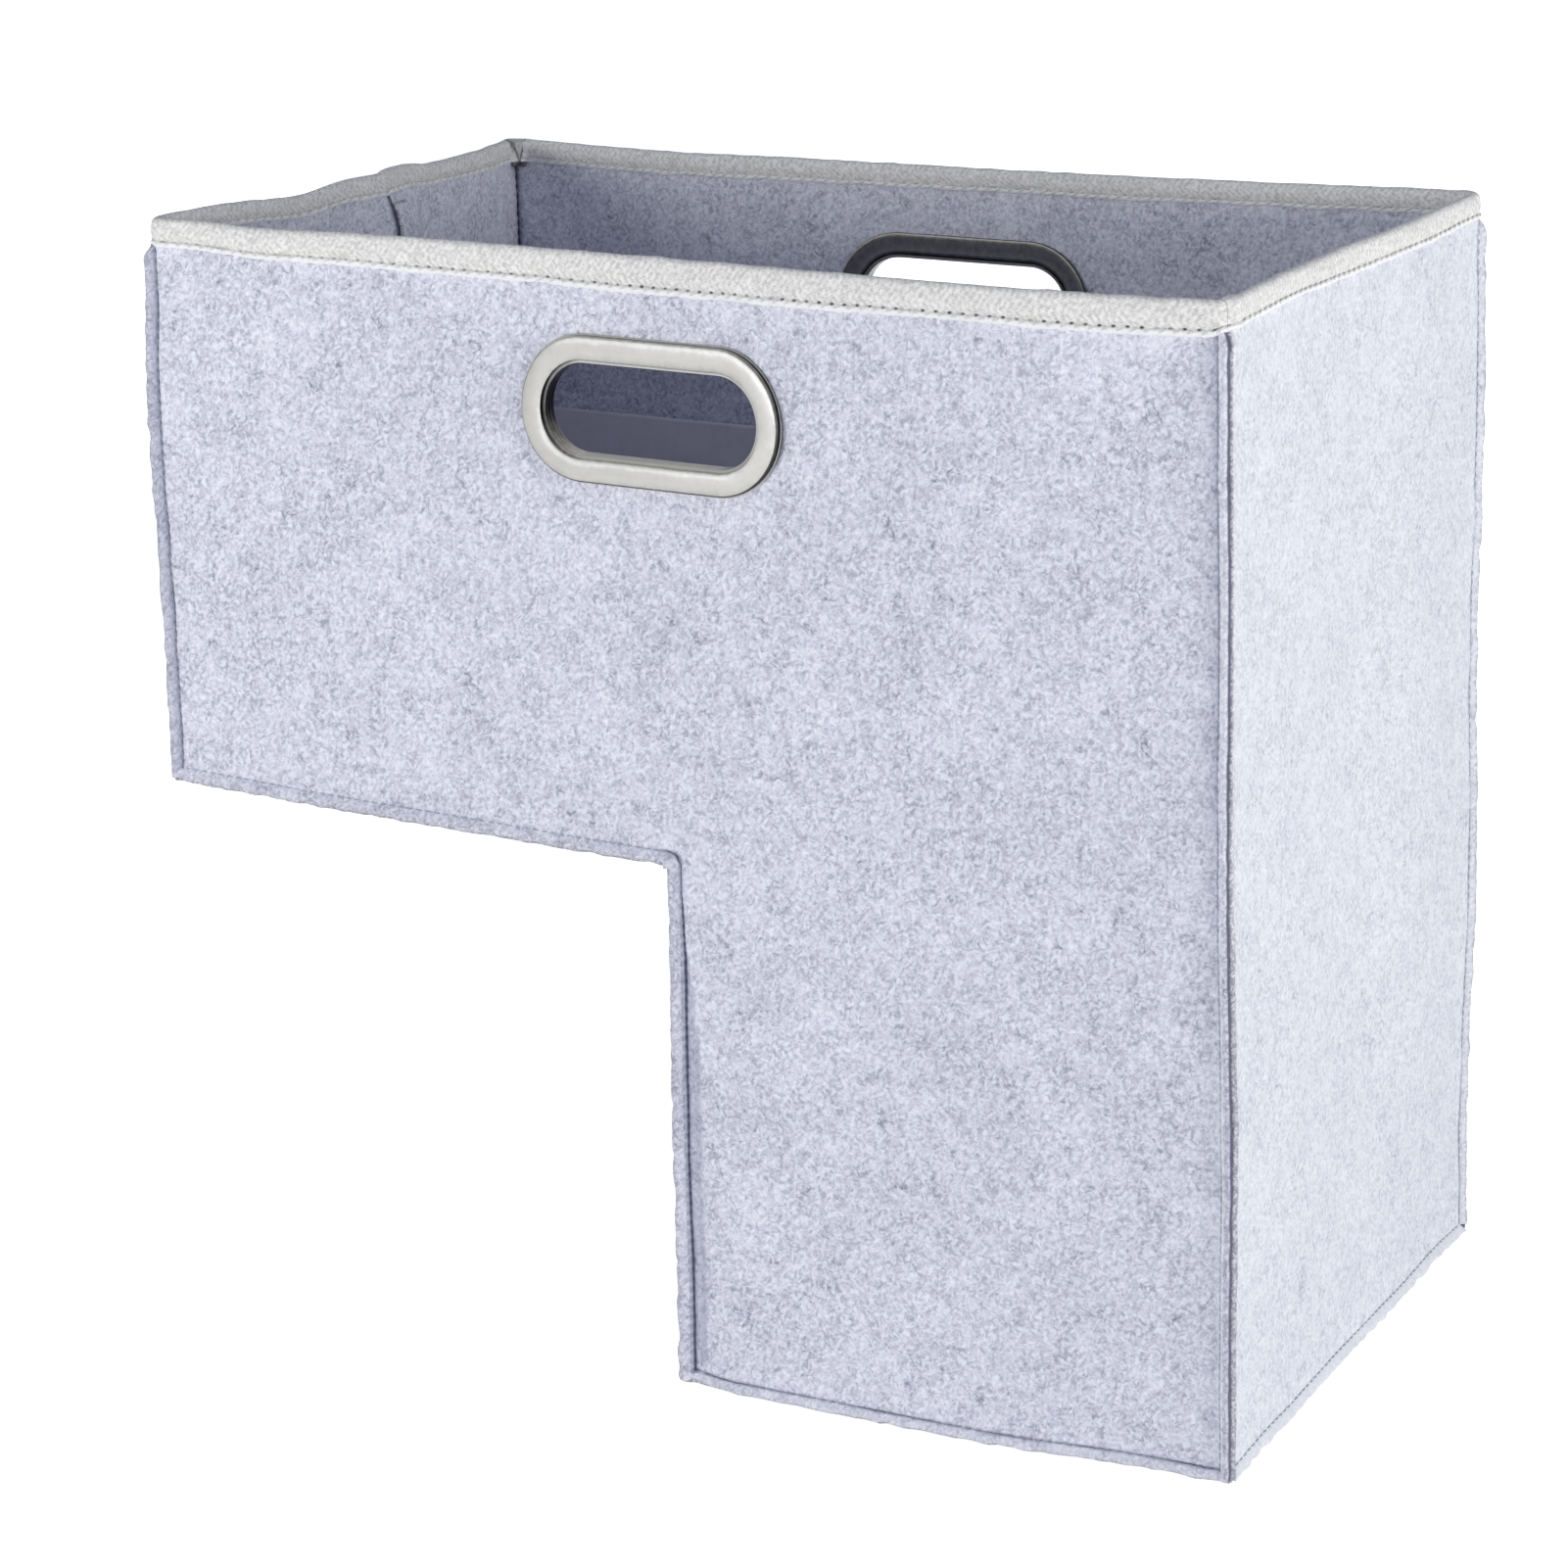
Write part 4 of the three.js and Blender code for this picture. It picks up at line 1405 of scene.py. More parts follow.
class CreaseAllowance(FeltSheet):
    """The seam allowance inside the left end's crease, pushed flat against the rear half."""

    gauge = 0.62
    inner_shade = 0.0
    near = 0.35 * MM
    width = 10.0 * MM

    def __init__(self, shop: Workshop, tape: "TapeGauge") -> None:
        """Runs from the step floor to the tape."""
        super().__init__(shop)
        self.low = self.planes.overhang + 2 * self.felt.thickness
        self.high = self.planes.top - tape.drop - 0.2 * MM

    def lines(self) -> tuple[Array, Array]:
        """Lines along y and z."""
        near, far = self.near, self.near + self.width
        along_y = graded_lines(near, far, self.step, [(near, 1), (far, -1)])
        return along_y, graded_lines(self.low, self.high, self.step, [(self.low, 1), (self.high, -1)])

    def outset(self, a: Array, b: Array) -> Array:
        """It isn't sewn outwards."""
        return np.full_like(a, -30 * MM)

    def to_edge(self, a: Array, b: Array) -> Array:
        """The nearest of its four sides."""
        sides = [a - self.near, self.near + self.width - a, b - self.low, self.high - b]
        return np.maximum(np.minimum.reduce(sides), 0)

    def place(self, a: Array, b: Array, out: Array) -> Array:
        """Against the inner face. Its free edge curls up a little, and wanders."""
        felt = self.felt
        curl = 0.7 * MM * smoothstep(a, self.width * 0.5, self.width)
        inset = felt.thickness + 0.15 * MM + self.gauge * felt.half + curl
        wander = 0.5 * MM * self.shop.swell.at(np.stack([np.zeros_like(a), np.zeros_like(a), b], -1))
        y = a + wander * np.clip(a / self.width, 0, 1)
        return np.stack([self.planes.left + inset - felt.half - out, y, b], -1)

    def shade(self, a: Array, b: Array) -> Array:
        """No stitches show."""
        return np.zeros_like(a)


class CornerStrip(FeltSheet):
    """The ply of the right end that stays sewn to the front wall."""

    width = 4.4 * MM

    def __init__(self, shop: Workshop, tape: "TapeGauge") -> None:
        """Lies at the front right corner."""
        super().__init__(shop)
        self.shift = self.felt.ply_gap * math.sqrt(2)
        self.ledge = tape.ledge(self.planes, End.RIGHT, Side.FRONT)
        self.floor = self.planes.bottom + self.felt.groove - 0.2 * MM

    def lines(self) -> tuple[Array, Array]:
        """From the raw edge to just behind the groove."""
        reach = self.planes.depth_half + self.felt.tip
        along_y = graded_lines(-reach, -reach + self.width, self.step, [(-reach, 1)])
        rows = round((self.ledge - self.floor) / self.step)
        return along_y, np.linspace(self.floor - 3.0 * MM, self.ledge, rows)

    def outset(self, a: Array, b: Array) -> Array:
        """The outset past the front wall."""
        return np.abs(a) - self.planes.depth_half

    def to_edge(self, a: Array, b: Array) -> Array:
        """Its raw edge, its top at the ledge and its hidden inner edge."""
        hidden = self.width - (a + self.planes.depth_half + self.felt.tip) + 0.3 * MM
        return np.maximum(np.minimum(np.minimum(self.to_raw(a, b), self.ledge - b), hidden), 0)

    def place(self, a: Array, b: Array, out: Array) -> Array:
        """y is a and z is b. The lower end follows the mitre with the floor's seam."""
        return np.stack([self.planes.right + out, a, b], -1)

    def pressed(self, a: Array, b: Array) -> Array:
        """Painted light above, and darker along the lower half."""
        return -0.5 + 0.75 * low_seam_and_raw_tint(b)

    def taper(self, a: Array, b: Array) -> Array:
        """It narrows into the tape."""
        return into_tape(self.ledge - b)


class FloorKind(Enum):
    """The three sheets that span from the front wall to the back wall."""

    STEP = "step_floor"
    RISER = "riser"
    BOTTOM = "bottom"


class FloorSheet(FeltSheet):
    """The overhang's floor, the riser or the bottom, sewn to both long walls."""

    def __init__(self, shop: Workshop, kind: FloorKind) -> None:
        """Takes which sheet this is, and where its own length starts and ends."""
        super().__init__(shop)
        self.kind = kind
        self.shift = self.felt.ply_gap * math.sqrt(2)
        p = self.planes
        self.low, self.high = {
            FloorKind.STEP: (p.left, p.riser),
            FloorKind.RISER: (p.bottom, p.overhang),
            FloorKind.BOTTOM: (p.riser, p.right),
        }[kind]
        self.sewn_high = kind is FloorKind.BOTTOM

    def lines(self) -> tuple[Array, Array]:
        """Lines along the sheet's own length and along y."""
        tip = self.felt.tip
        high = self.high + (tip if self.sewn_high else 0)
        edges = [(self.low - tip, 1)] + ([(high, -1)] if self.sewn_high else [])
        reach = self.planes.depth_half + tip
        return (
            graded_lines(self.low - tip, high, 3 * MM, edges),
            graded_lines(-reach, reach, 3 * MM, [(-reach, 1), (reach, -1)]),
        )

    def _own(self, a: Array) -> Array:
        """The outset past the sheet's own sewn ends."""
        low = self.low - a
        return np.maximum(low, a - self.high) if self.sewn_high else low

    def outset(self, a: Array, b: Array) -> Array:
        """The greater of the outsets past the walls and past its own ends."""
        return np.maximum(np.abs(b) - self.planes.depth_half, self._own(a))

    def to_edge(self, a: Array, b: Array) -> Array:
        """Raw plies all round. The step corner is a fold, where nothing ends."""
        return np.maximum(self.to_raw(a, b), 0)

    def place(self, a: Array, b: Array, out: Array) -> Array:
        """At the step corner the length is cut on the mitre: it changes with out."""
        p = self.planes
        if self.kind is FloorKind.RISER:
            mitre = smoothstep(a, p.overhang - 12 * MM, p.overhang)
            return np.stack([p.riser - out, b, a - mitre * out], -1)
        if self.kind is FloorKind.STEP:
            mitre = smoothstep(a, p.riser - 12 * MM, p.riser)
            return np.stack([a - mitre * out, b, p.overhang - out], -1)
        return np.stack([a, b, p.bottom - out], -1)

    def along(self, a: Array, b: Array) -> Array:
        """Stitches run along y at its own ends and along its length at the walls."""
        return np.where(self._own(a) > np.abs(b) - self.planes.depth_half, b, a)


class KerbStrip(FeltSheet):
    """The ply of an end that is sewn to the floor below it."""

    width = 4.6 * MM
    cut_back = 0.6 * MM

    def __init__(self, shop: Workshop, end: End) -> None:
        """Takes the end that the strip belongs to."""
        super().__init__(shop)
        self.end = end
        self.floor = self.planes.floor_z(end)

    def lines(self) -> tuple[Array, Array]:
        """Lines along y and z, from the raw edge to just behind the groove."""
        reach = self.planes.depth_half + self.felt.tip - self.cut_back
        low = self.floor - self.felt.tip
        return (
            np.linspace(-reach, reach, round(2 * reach / self.step) + 1),
            graded_lines(low, low + self.width, self.step, [(low, 1)]),
        )

    def outset(self, a: Array, b: Array) -> Array:
        """The outset past the floor's face."""
        return self.floor - b

    def to_edge(self, a: Array, b: Array) -> Array:
        """The raw edge, the ends and the hidden upper edge."""
        hidden = self.width - (b - self.floor + self.felt.tip) + 0.3 * MM
        ends = self.planes.depth_half + self.felt.tip - self.cut_back - np.abs(a)
        return np.maximum(np.minimum(np.minimum(self.to_raw(a, b), hidden), ends), 0)

    def place(self, a: Array, b: Array, out: Array) -> Array:
        """y is a and z is b. The ends are cut back on the mitre with the corner seams."""
        p = self.planes
        share = smoothstep(np.abs(a), p.depth_half - 6 * MM, p.depth_half)
        y = a - np.sign(a) * share * np.clip(0.5 * MM - out * 0.2, 0, None)
        return np.stack([p.face_x(self.end) + self.end.value * out, y, b], -1)

    def along(self, a: Array, b: Array) -> Array:
        """Stitches run along y."""
        return a

    def shade(self, a: Array, b: Array) -> Array:
        """Faint painted shade at the needle holes."""
        return np.full_like(a, 0.3)

    def pressed(self, a: Array, b: Array) -> Array:
        """Painted light, as pale as the end above it."""
        return np.full_like(a, -0.6)


def thread_run(centres: Array, tangents: Array, normals: Array, length: float,
               radius: float, rise: float) -> Made:
    """Separate stitches, each a short round thread that rises in the middle and dives at its ends.

    A stitch runs along its tangent from -length/2 to length/2 and stands rise (1 - 2 s^2)
    off its centre, where s goes from -1 to 1.

    Args:
        centres: The stitch centres, k by 3.
        tangents: Unit directions along the seam.
        normals: Unit directions out of the cloth.
        length: The length of a stitch.
        radius: The thread's radius.
        rise: How high the middle stands.

    Returns:
        One mesh with every stitch as a closed tube with pointed ends.
    """
    share = np.array([-1.0, -0.8, -0.4, 0.0, 0.4, 0.8, 1.0])
    girth = np.array([0.12, 0.75, 1.0, 1.06, 1.0, 0.75, 0.12])
    turns = np.linspace(0, 2 * math.pi, 7)[:-1]
    side = np.cross(tangents, normals)
    spine = (centres[:, None] + tangents[:, None] * (share * length / 2)[None, :, None]
             + normals[:, None] * (rise * (1 - 2 * share**2))[None, :, None])
    ring = (normals[:, None, None] * np.cos(turns)[None, None, :, None]
            + side[:, None, None] * np.sin(turns)[None, None, :, None])
    points = spine[:, :, None] + ring * (radius * girth)[None, :, None, None]
    count, rings, sides = len(centres), len(share), len(turns)
    tube = loop_quads(rings, sides, closed_rows=False)
    first = np.array([[0, 1, 2, 3], [0, 3, 4, 5]])
    last = (rings - 1) * sides + first[:, ::-1]
    one = np.concatenate([tube[:, ::-1], first, last])
    offsets = (np.arange(count) * rings * sides)[:, None, None]
    return Made(points.reshape(-1, 3), (one[None] + offsets).reshape(-1, 4))


def stitched(shop: Workshop, points: Array, normals: Array, pitch: float, length: float,
             radius: float, rise: float, slant: float = 0.0) -> Made:
    """Stitches at an even pitch along a line of close points, on the slack felt.

    Args:
        shop: The workshop, for the slack map.
        points: The seam's line in its flat place, k by 3.
        normals: Directions out of the cloth at each point.
        pitch: From one stitch to the next.
        length: The length of a stitch.
        radius: The thread's radius.
        rise: How high the middle of a stitch stands.
        slant: How far a stitch leans, as a share of its length.

    Returns:
        The stitches as one mesh.
    """
    gaps = np.linalg.norm(np.diff(points, axis=0), axis=1)
    reach = np.concatenate([[0], np.cumsum(gaps)])
    marks = np.arange(pitch / 2, reach[-1], pitch)
    def at(places: Array, values: Array) -> Array:
        """The values at places along the line."""
        return np.stack([np.interp(places, reach, values[:, k]) for k in range(3)], -1)

    forward = unit(at(marks + 0.3 * pitch, points) - at(marks - 0.3 * pitch, points))
    out = unit(at(marks, normals))
    leaning = unit(forward + slant * np.cross(forward, out))
    made = thread_run(at(marks, points), leaning, out, length, radius, rise)
    made.vertices = shop.slack.moved(made.vertices)
    return made


def joined(parts: Sequence[Made]) -> Made:
    """Several meshes of quads as one."""
    offsets = np.cumsum([0] + [len(part.vertices) for part in parts[:-1]])
    faces = [part.faces + offset for part, offset in zip(parts, offsets)]
    return Made(np.concatenate([part.vertices for part in parts]), np.concatenate(faces))


@dataclass(frozen=True)
class TapeGauge:
    """The rim tape and its stitching.

    Attributes:
        thickness: The tape's own.
        gap: Between the felt and the tape.
        drop: How far the tape comes down outside.
        narrowed: How much less at the front left corner.
        puff: How far it stands off between the crown and the stitches.
        inner_share: The drop inside, as a share of that outside.
        end_narrowed: How much less along the right end.
        stitch_height: The stitch line above the lower edge.
        bead: How far the rolled lower edge stands out.
        bead_height: How high the thread lies above the lower edge.
        stitch_pitch: From one stitch to the next.
        stitch_length: The length of a stitch.
        thread_radius: The thread's radius.
        corner_radius: The radius of the rim's middle line at a corner.
    """

    thickness: float = 0.7 * MM
    gap: float = 0.3 * MM
    drop: float = 10.0 * MM
    narrowed: float = 1.4 * MM
    puff: float = 0.45 * MM
    inner_share: float = 0.70
    end_narrowed: float = 2.2 * MM
    stitch_height: float = 2.5 * MM
    bead: float = 0.42 * MM
    bead_height: float = 1.25 * MM
    stitch_pitch: float = 4.5 * MM
    stitch_length: float = 3.4 * MM
    thread_radius: float = 0.36 * MM
    corner_radius: float = 6.0 * MM

    def reach(self, felt: Felt) -> float:
        """From the middle of the felt to the middle of the tape."""
        return felt.half + self.gap + self.thickness / 2

    def flat(self, length: float, felt: Felt) -> tuple[float, float]:
        """A length of tape laid flat: both drops and the way over the felt edge."""
        return max(length, 10 * MM), self.drop * (1 + self.inner_share) + 3 * self.reach(felt)

    def drop_at(self, planes: Planes, plan: Array) -> Array:
        """How far the tape comes down at points in plan: it was sewn on a little askew.

        The drop is narrower at the front left corner, as a Gaussian of the distance, and
        along the right end, and wanders along the rim.
        """
        far = np.linalg.norm(plan - np.array([planes.left, planes.front]), axis=-1)
        points = np.concatenate([plan, np.zeros((*plan.shape[:-1], 1))], -1)
        end = smoothstep(plan[..., 0], planes.right - 5 * MM, planes.right - 1 * MM) * self.end_narrowed
        corner = self.narrowed * hump(far, 110 * MM)
        return self.drop - corner - end + 0.18 * MM * Waves(70 * MM, 31).at(points)

    def ledge(self, planes: Planes, end: End, side: Side) -> float:
        """The height at which a corner seam stops, just above the tape's lower edge."""
        corner = np.array([planes.face_x(end), planes.face_y(side)])
        return planes.top - float(self.drop_at(planes, corner)) + 0.5 * MM


class RimTape:
    """A length of tape folded over the rim, along a path in plan.

    Attributes:
        rise: How finely each leg is divided.
        crown: How high the tape stands over the rim's shoulder.
        pace: From one point of the path to the next.
    """

    rise = 16
    crown = 1.9 * MM
    pace = 1.15 * MM

    def __init__(self, shop: Workshop, gauge: TapeGauge, path: Array, outward: Array,
                 shrink: Array | None = None, step: Array | None = None,
                 crease: tuple[float, float] | None = None) -> None:
        """Takes the path.

        Args:
            shop: The workshop.
            gauge: The tape's sizes.
            path: Points along the middle of the felt, k by 2.
            outward: The horizontal direction out of the basket at each point, k by 2.
            shrink: A share of the tape's width at each point, for a length that hides in another.
            step: How far each point is raised and thickened, for a lap in the tape.
            crease: The middle and the half width, along the path, of a V that the tape folds in, drawn as
                painted shade.
        """
        self.shop = shop
        self.gauge = gauge
        self.path = path
        self.outward = outward
        self.shrink = np.ones(len(path)) if shrink is None else shrink
        self.step = np.zeros(len(path)) if step is None else step
        self.crease = crease
        steps = np.linalg.norm(np.diff(path, axis=0), axis=1)
        self.along = np.concatenate([[0], np.cumsum(steps)])

    def section(self) -> tuple[Array, Array, Array]:
        """The tape's middle line over the felt edge, from the outer lower edge to the inner one.

        It goes straight up, over a half ellipse and straight down, and puffs out by
        sin^2 between the crown and the stitches.

        Returns:
            The distance out from the middle of the felt, the share of the way down from the
            shoulder to the lower edge (negative over the crown), and the distance along the
            section.
        """
        gauge = self.gauge
        reach = gauge.reach(self.shop.felt)
        up = np.concatenate([np.linspace(0, 0.32, 10), np.linspace(0.32, 1, self.rise - 4)[1:]])
        above = gauge.drop * (1 - up)
        puff = gauge.puff * np.sin(math.pi * np.clip((up - 0.22) / 0.9, 0, 1)) ** 2
        height = gauge.drop * up
        lip = gauge.bead * np.sin(math.pi * np.clip(height / (0.85 * gauge.stitch_height), 0, 1)) ** 0.8
        dip = -0.26 * MM * hump(height - gauge.stitch_height, 0.7 * MM)
        leg = reach + puff + lip + dip
        turn = np.linspace(0, math.pi, 15)[1:-1]
        out = np.concatenate([leg, leg[-1] * np.cos(turn), -leg[::-1]])
        down = np.concatenate([1 - up, -np.sin(turn), (1 - up)[::-1]])
        high = np.where(down > 0, -above.max() * down, -self.crown * down)
        walked = np.concatenate([[0], np.cumsum(np.hypot(np.diff(out), np.diff(high)))])
        return out, down, walked

    def _wedge(self, inner: Array) -> Array:
        """How far the inner leg is held off in the back left corner, where the tape bunches.

        The leg lies on a plane across the corner: from a path point the plane is
        (c - (p - corner).g) / (-n.g) away, where g points along the corner's diagonal.
        """
        p, felt = self.shop.planes, self.shop.felt
        corner = np.array([p.left + felt.half, p.back - felt.half])
        inward = np.array([1.0, -1.0]) / math.sqrt(2)
        facing = -(self.outward @ inward)
        plane = 6.7 * MM
        away = (plane - (self.path - corner) @ inward) / np.maximum(facing, 0.2)
        at_corner = np.linalg.norm(self.path - corner, axis=1) < 20 * MM
        held = (facing > 0.5) & at_corner
        return np.where(held[:, None], np.maximum(inner, away[:, None]), inner)

    def _middle(self, out: Array, down: Array) -> Array:
        """The tape's middle surface over the path: the section, raised, wavy at its lower edge."""
        gauge, shop = self.gauge, self.shop
        reach = out[None, :] * self.shrink[:, None]
        reach = reach + np.sign(out)[None, :] * np.clip(self.step, 0, None)[:, None] * 0.5
        inner = out < -0.8 * gauge.reach(shop.felt)
        reach = np.where(inner[None, :], -self._wedge(-reach), reach)
        share = np.where(out < 0, gauge.inner_share, 1.0)
        drop = gauge.drop_at(shop.planes, self.path)[:, None] * share[None, :]
        shoulder = gauge.gap + gauge.thickness / 2 - self.crown
        legs = shoulder - (drop + shoulder) * down[None, :]
        over = shoulder - self.crown * down[None, :] - (1 - self.shrink[:, None]) * 1.6 * MM
        height = np.where(down[None, :] > 0, legs, over) + self.step[:, None]
        plan = self.path[:, None, :] + self.outward[:, None, :] * reach[..., None]
        middle = np.concatenate([plan, (shop.planes.top + height)[..., None]], -1)
        low = (down > 0.94)[None, :, None]
        wave = Waves(14 * MM, 21, 20).at(middle)[..., None]
        scallop = np.cos(2 * math.pi * self.along / gauge.stitch_pitch)[:, None, None] * 0.14 * MM
        raised = np.where(low, scallop + wave * 0.12 * MM, wave * 0.05 * MM)
        return middle + np.array([0, 0, 1.0]) * raised

    def _marks(self, out: Array, from_edge: Array) -> Array:
        """The attribute stitch: the run, the distance from the edge and how deep the holes' painted shade
        is.
        """
        p = self.shop.planes
        # The holes' painted shade is fainter towards the left end, faint on the right end and half as deep
        # inside.
        clear = 0.4 + 0.6 * smoothstep(self.path[:, 0], p.left, p.riser)
        clear = np.where(self.outward[:, 0] > 0.8, 0.15, clear)
        depth = clear[:, None] * np.where(out < 0, 0.5, 1.0)
        run, off = np.meshgrid(self.along, from_edge, indexing="ij")
        return np.stack([run, off, depth], -1).reshape(-1, 3)

    def _folds(self, down: Array) -> Array:
        """The attribute crease: the painted shade of a V where the tape is folded in."""
        dark = np.zeros((len(self.along), len(down)))
        if self.crease is not None:
            middle, half_width = self.crease
            vee = half_width * (1 - 0.9 * np.clip(down, 0, 1))
            off = np.abs(self.along - middle)[:, None] - vee[None, :]
            dark = 0.72 * hump(off, 1.0 * MM) + 0.22 * (1 - smoothstep(off, -1 * MM, 3 * MM))
        return dark.ravel()

    def made(self) -> Made:
        """Sweeps the section along the path and pinches it at the stitches, as a closed shell."""
        gauge, shop = self.gauge, self.shop
        out, down, walked = self.section()
        middle = self._middle(out, down)
        normal = unit(np.cross(np.gradient(middle, axis=1), np.gradient(middle, axis=0)))
        facing = np.sign((normal[:, 4, :2] * self.outward).sum(-1)).mean()
        normal *= 1.0 if facing > 0 else -1.0
        stitches = 0.6 + 0.4 * np.cos(2 * math.pi * (self.along / gauge.stitch_pitch - 0.5))
        from_edge = np.minimum(walked, walked[-1] - walked)
        near = hump(from_edge - gauge.stitch_height, 0.55 * MM)
        pinch = 0.18 * MM * near[None, :] * stitches[:, None]
        uneven = Waves(9 * MM, 22, 24).at(middle) * 0.06 * MM
        middle = middle + normal * (uneven - pinch)[..., None]
        half = gauge.thickness / 2
        outer = shop.slack.moved(middle + normal * half)
        inner = shop.slack.moved(middle - normal * half)
        used, faces = shell(outer, inner, np.ones((len(self.path) - 1, len(out) - 1), bool))
        points = np.concatenate([outer.reshape(-1, 3), inner.reshape(-1, 3)])
        weave = np.stack(np.meshgrid(self.along, walked, indexing="ij"), -1).reshape(-1, 2)
        marks, folds = self._marks(out, from_edge), self._folds(down)
        # The needle holes' painted shade stays off the inner face, and the fold's painted shade lies on
        # both faces.
        values = {
            "stitch": np.concatenate([marks, marks * (1, 1, 0)])[used],
            "crease": np.concatenate([folds, folds])[used],
        }
        return Made(points[used], faces, uv=np.concatenate([weave, weave])[used], values=values)

    def stitches(self) -> Made:
        """Two rows of stitches, outside and inside, above the lower edges."""
        gauge, shop = self.gauge, self.shop
        rows = []
        for sign, share in ((1, 1.0), (-1, gauge.inner_share)):
            drop = gauge.drop_at(shop.planes, self.path) * share
            high = shop.planes.top - drop + gauge.bead_height * share + self.step
            reach = (gauge.reach(shop.felt) + gauge.thickness / 2 + gauge.bead - 0.18 * MM) * self.shrink
            reach = reach + np.clip(self.step, 0, None) * 0.5
            if sign < 0:
                reach = self._wedge(reach[:, None])[:, 0]
            plan = self.path + self.outward * (sign * reach)[:, None]
            out = np.concatenate([self.outward * sign, np.zeros((len(plan), 1))], -1)
            line = np.concatenate([plan, high[:, None]], -1)
            rows.append(stitched(shop, line, out, gauge.stitch_pitch, gauge.stitch_length,
                                 gauge.thread_radius, 0.16 * MM, -0.38))
        return joined(rows)


